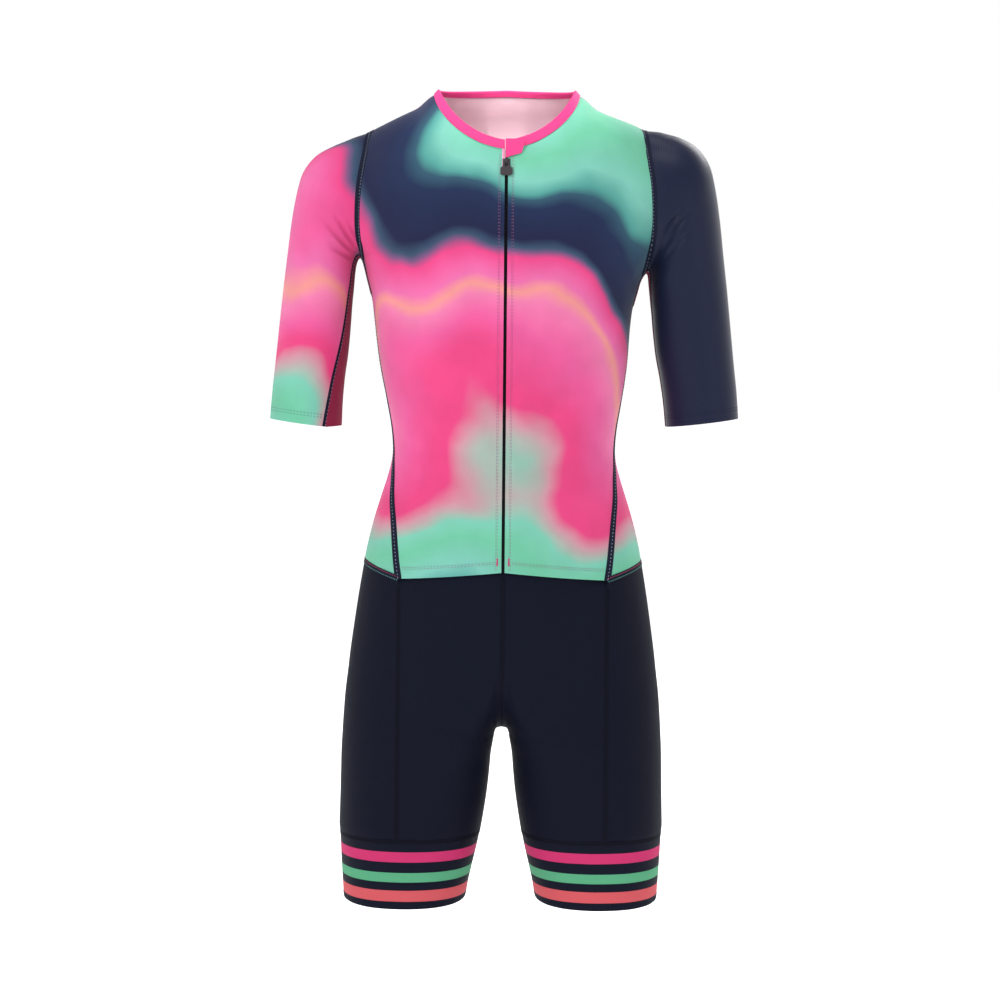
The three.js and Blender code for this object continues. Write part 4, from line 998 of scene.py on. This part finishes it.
for side, sign in mirror.items():
    topSeams(side, sign)

# Waist seam behind the free hem, from one side seam round the back to the other
waistAngles = np.linspace(sideSeamAngle(hemCornerZ), 2 * math.pi - sideSeamAngle(hemCornerZ), 120)
waistSpots = [spotAt(waistSeamZ(min(a, 2 * math.pi - a)), a) for a in waistAngles]
line, out = spotLine(waistSpots, 1)
seamStrip("seam_waist", line, out, 6.4, 0.45, navyThread)
stitchRow("thread_coral", line + out * 0.35, out, 3.2, 2.2, 0.3, 1.7)
stitchRow("thread_mint", line + out * 0.35, out, 3.2, 2.2, 0.3, -1.7)


def shortsSeams(side, sign):
    line, out = frontShorts[flapLast:, -1], frontShortsOut[flapLast:, -1]
    seamStrip("seam_thigh_" + side, line * sign, out * sign, 4.6, 0.3, shortsThread)
    line, out = backShorts[backLast:, backEdge], backShortsOut[backLast:, backEdge]
    out = out * (1, 0, 1) - (1, 0, 0)
    seamStrip("seam_inseam_" + side, line * sign, out * sign, 4.6, 0.3, shortsThread)
    ring = bandGrid[0] * sign
    ringOut = gridNormals(bandGrid * sign, bandAxis * sign[0], wraps=True)[0]
    seamStrip("seam_band_" + side, ring, ringOut, 5, 0.35, shortsThread)
    for rise in (0.15, 0.19):
        row = mix(bandGrid[-1], bandGrid[-1 - rowSteps], rise) * sign
        stitchRow("thread_navy", row, ringOut, 3.4, 2.3, 0.26)


for side, sign in mirror.items():
    shortsSeams(side, sign)

# Centre seam of the shorts, from inside the front hem through the crotch to the waist
centreFirst = 2 * shortsSteps
frontOut, backOut = gridNormals(frontShorts, 0), gridNormals(backShorts, 0)
centre = [frontShorts[centreFirst:frontLast + 1, 0], backShorts[backLast::-1, -1]]
centreOut = [frontOut[centreFirst:frontLast + 1, 0], backOut[backLast::-1, -1]]
seamStrip("seam_centre", np.concatenate(centre) * (0, 1, 1), np.concatenate(centreOut) * (0, 1, 1),
          5, 0.35, shortsThread)

# Binding stitches, coil teeth and the pale facing at the top of the right zip edge
neckStitch = np.array([row[0] * 0.7 + row[1] * 0.3 for row in neckWhole])
neckFace = np.concatenate([neckOuts, np.array(neckOuts)[-2::-1] * mirror["right"]])
stitchRow("thread_pink", neckStitch, neckFace, 3.2, 2.2, 0.26)
stitchRow("thread_pink", neckStitch, neckFace, 3.2, 2.2, 0.26, 1.3)
teeth = bmesh.new()
coilTopZ, toothCount, toothPitch = -47, 292, 1.42
for i in range(toothCount):
    z = coilTopZ - i * toothPitch
    out = bodyNormal((z, 0)) * (0, 1, 1)
    y = bodyPoint(frontSpot(z, zipGap / 2))[1]
    for x, lag in ((-0.62, 0), (0.62, toothPitch / 2)):
        middle = np.array([x, y, z - lag]) - out * 1.0
        matrix = Matrix.Translation(middle / 1000) @ Matrix.Diagonal((0.00085, 0.00055, 0.00042, 1))
        bmesh.ops.create_icosphere(teeth, subdivisions=1, radius=1, matrix=matrix)
finishMesh(teeth, "zip_coil", [zipNylon])
spots = [spotAt(z, -bodyAngle(z, 3.1, "front")) for z in np.linspace(-19, -52, 14)]
line, out = spotLine(spots, 1)
seamStrip("zip_facing", line, out, 2.6, 0.35, paleFacing)
for group, bm in threadRows.items():
    finishMesh(bm, group, [threads[group]])
print("seams and stitches made")

# Slider and pull: the CAD shapes with softened edges
cornerAngle, cornerWidth = 0.5, 0.00022
for node, body in (("zip_slider", "suit"), ("zip_pull", "pull_tab")):
    bm = bmesh.new()
    bm.from_mesh(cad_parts[node].data)
    bmesh.ops.remove_doubles(bm, verts=bm.verts, dist=1e-6)
    bmesh.ops.dissolve_limit(bm, angle_limit=0.02, verts=bm.verts, edges=bm.edges)
    corners = [edge for edge in bm.edges if edge.calc_face_angle(0) > cornerAngle]
    bmesh.ops.bevel(bm, geom=corners, offset=cornerWidth, segments=2, affect="EDGES", profile=0.5,
                    material=-1, clamp_overlap=True)
    piece = finishMesh(bm, "moulded_" + node, [zipPlastic], body)
    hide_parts(node)
print("slider and pull made")

# Studio: a pale floor below the suit and a pale sky that is dimmer overhead
paleFloor, shader = newMaterial("pale_floor", 0.9, "F4F4F5")
shader.inputs["Emission Color"].default_value = (1, 1, 1, 1)
shader.inputs["Emission Strength"].default_value = 0.62
floorMesh = bpy.data.meshes.new("floor")
bm = bmesh.new()
bmesh.ops.create_grid(bm, x_segments=1, y_segments=1, size=30)
bm.to_mesh(floorMesh)
bm.free()
floorMesh.materials.append(paleFloor)
floor = bpy.data.objects.new("floor", floorMesh)
bpy.context.scene.collection.objects.link(floor)
floor.location.z = -0.9

world = bpy.data.worlds.new("studio")
bpy.context.scene.world = world
world.use_nodes = True
background = world.node_tree.nodes["Background"]
background.inputs["Color"].default_value = (1, 1, 1, 1)
skyParts = addNode(world, "SeparateXYZ", {0: addNode(world, "TexCoord").outputs["Generated"]})
skyFade = addNode(world, "MapRange", {"Value": skyParts.outputs["Z"], "From Min": 0.3,
                                      "From Max": 0.55, "To Min": 1.0, "To Max": 0.4})
world.node_tree.links.new(skyFade.outputs["Result"], background.inputs["Strength"])


def addLamp(name, data, place, target, power):
    data.energy = power
    lamp = bpy.data.objects.new(name, data)
    bpy.context.scene.collection.objects.link(lamp)
    lamp.location = place
    lamp.rotation_euler = (Vector(target) - Vector(place)).to_track_quat("-Z", "Y").to_euler()


lights = [("key", (-1.7, -1.9, 1.6), 1.1, 46), ("fill", (1.9, -2.0, 0.2), 1.8, 6),
          ("top", (0.3, -0.4, 2.0), 1.2, 20), ("rear", (1.4, 2.0, 1.3), 1.2, 34)]
for name, place, size, power in lights:
    data = bpy.data.lights.new(name, "AREA")
    data.shape, data.size = "DISK", size
    addLamp(name, data, place, (0, 0, -0.35), power)
# Two narrow soft spots light the inside of the back through the neck
for name, side in (("neck_left", 1), ("neck_right", -1)):
    data = bpy.data.lights.new(name, "SPOT")
    data.spot_size, data.spot_blend, data.shadow_soft_size = math.radians(6.8), 0.9, 0.08
    addLamp(name, data, (0.9 * side, -1.1, 1.3), (-0.025 * side, 0.05, -0.008), 170)
bpy.context.scene.view_settings.view_transform = "Standard"

# Camera: chest height, with a field 1.06 m wide at the suit's middle, and rolled so that the
# suit leans as in the photo
sensor, distance, field = 36, 3.0, 1.06
cameraData = bpy.data.cameras.new("camera")
cameraData.sensor_width, cameraData.lens = sensor, sensor * distance / field
camera = bpy.data.objects.new("camera", cameraData)
bpy.context.scene.collection.objects.link(camera)
camera.location = (-0.002, -distance, -0.212)
aim = Vector((-0.0037, 0, -0.392)) - camera.location
roll = Quaternion((0, 0, 1), math.radians(0.5))
camera.rotation_euler = (aim.to_track_quat("-Z", "Y") @ roll).to_euler()
bpy.context.scene.camera = camera
print("studio made")
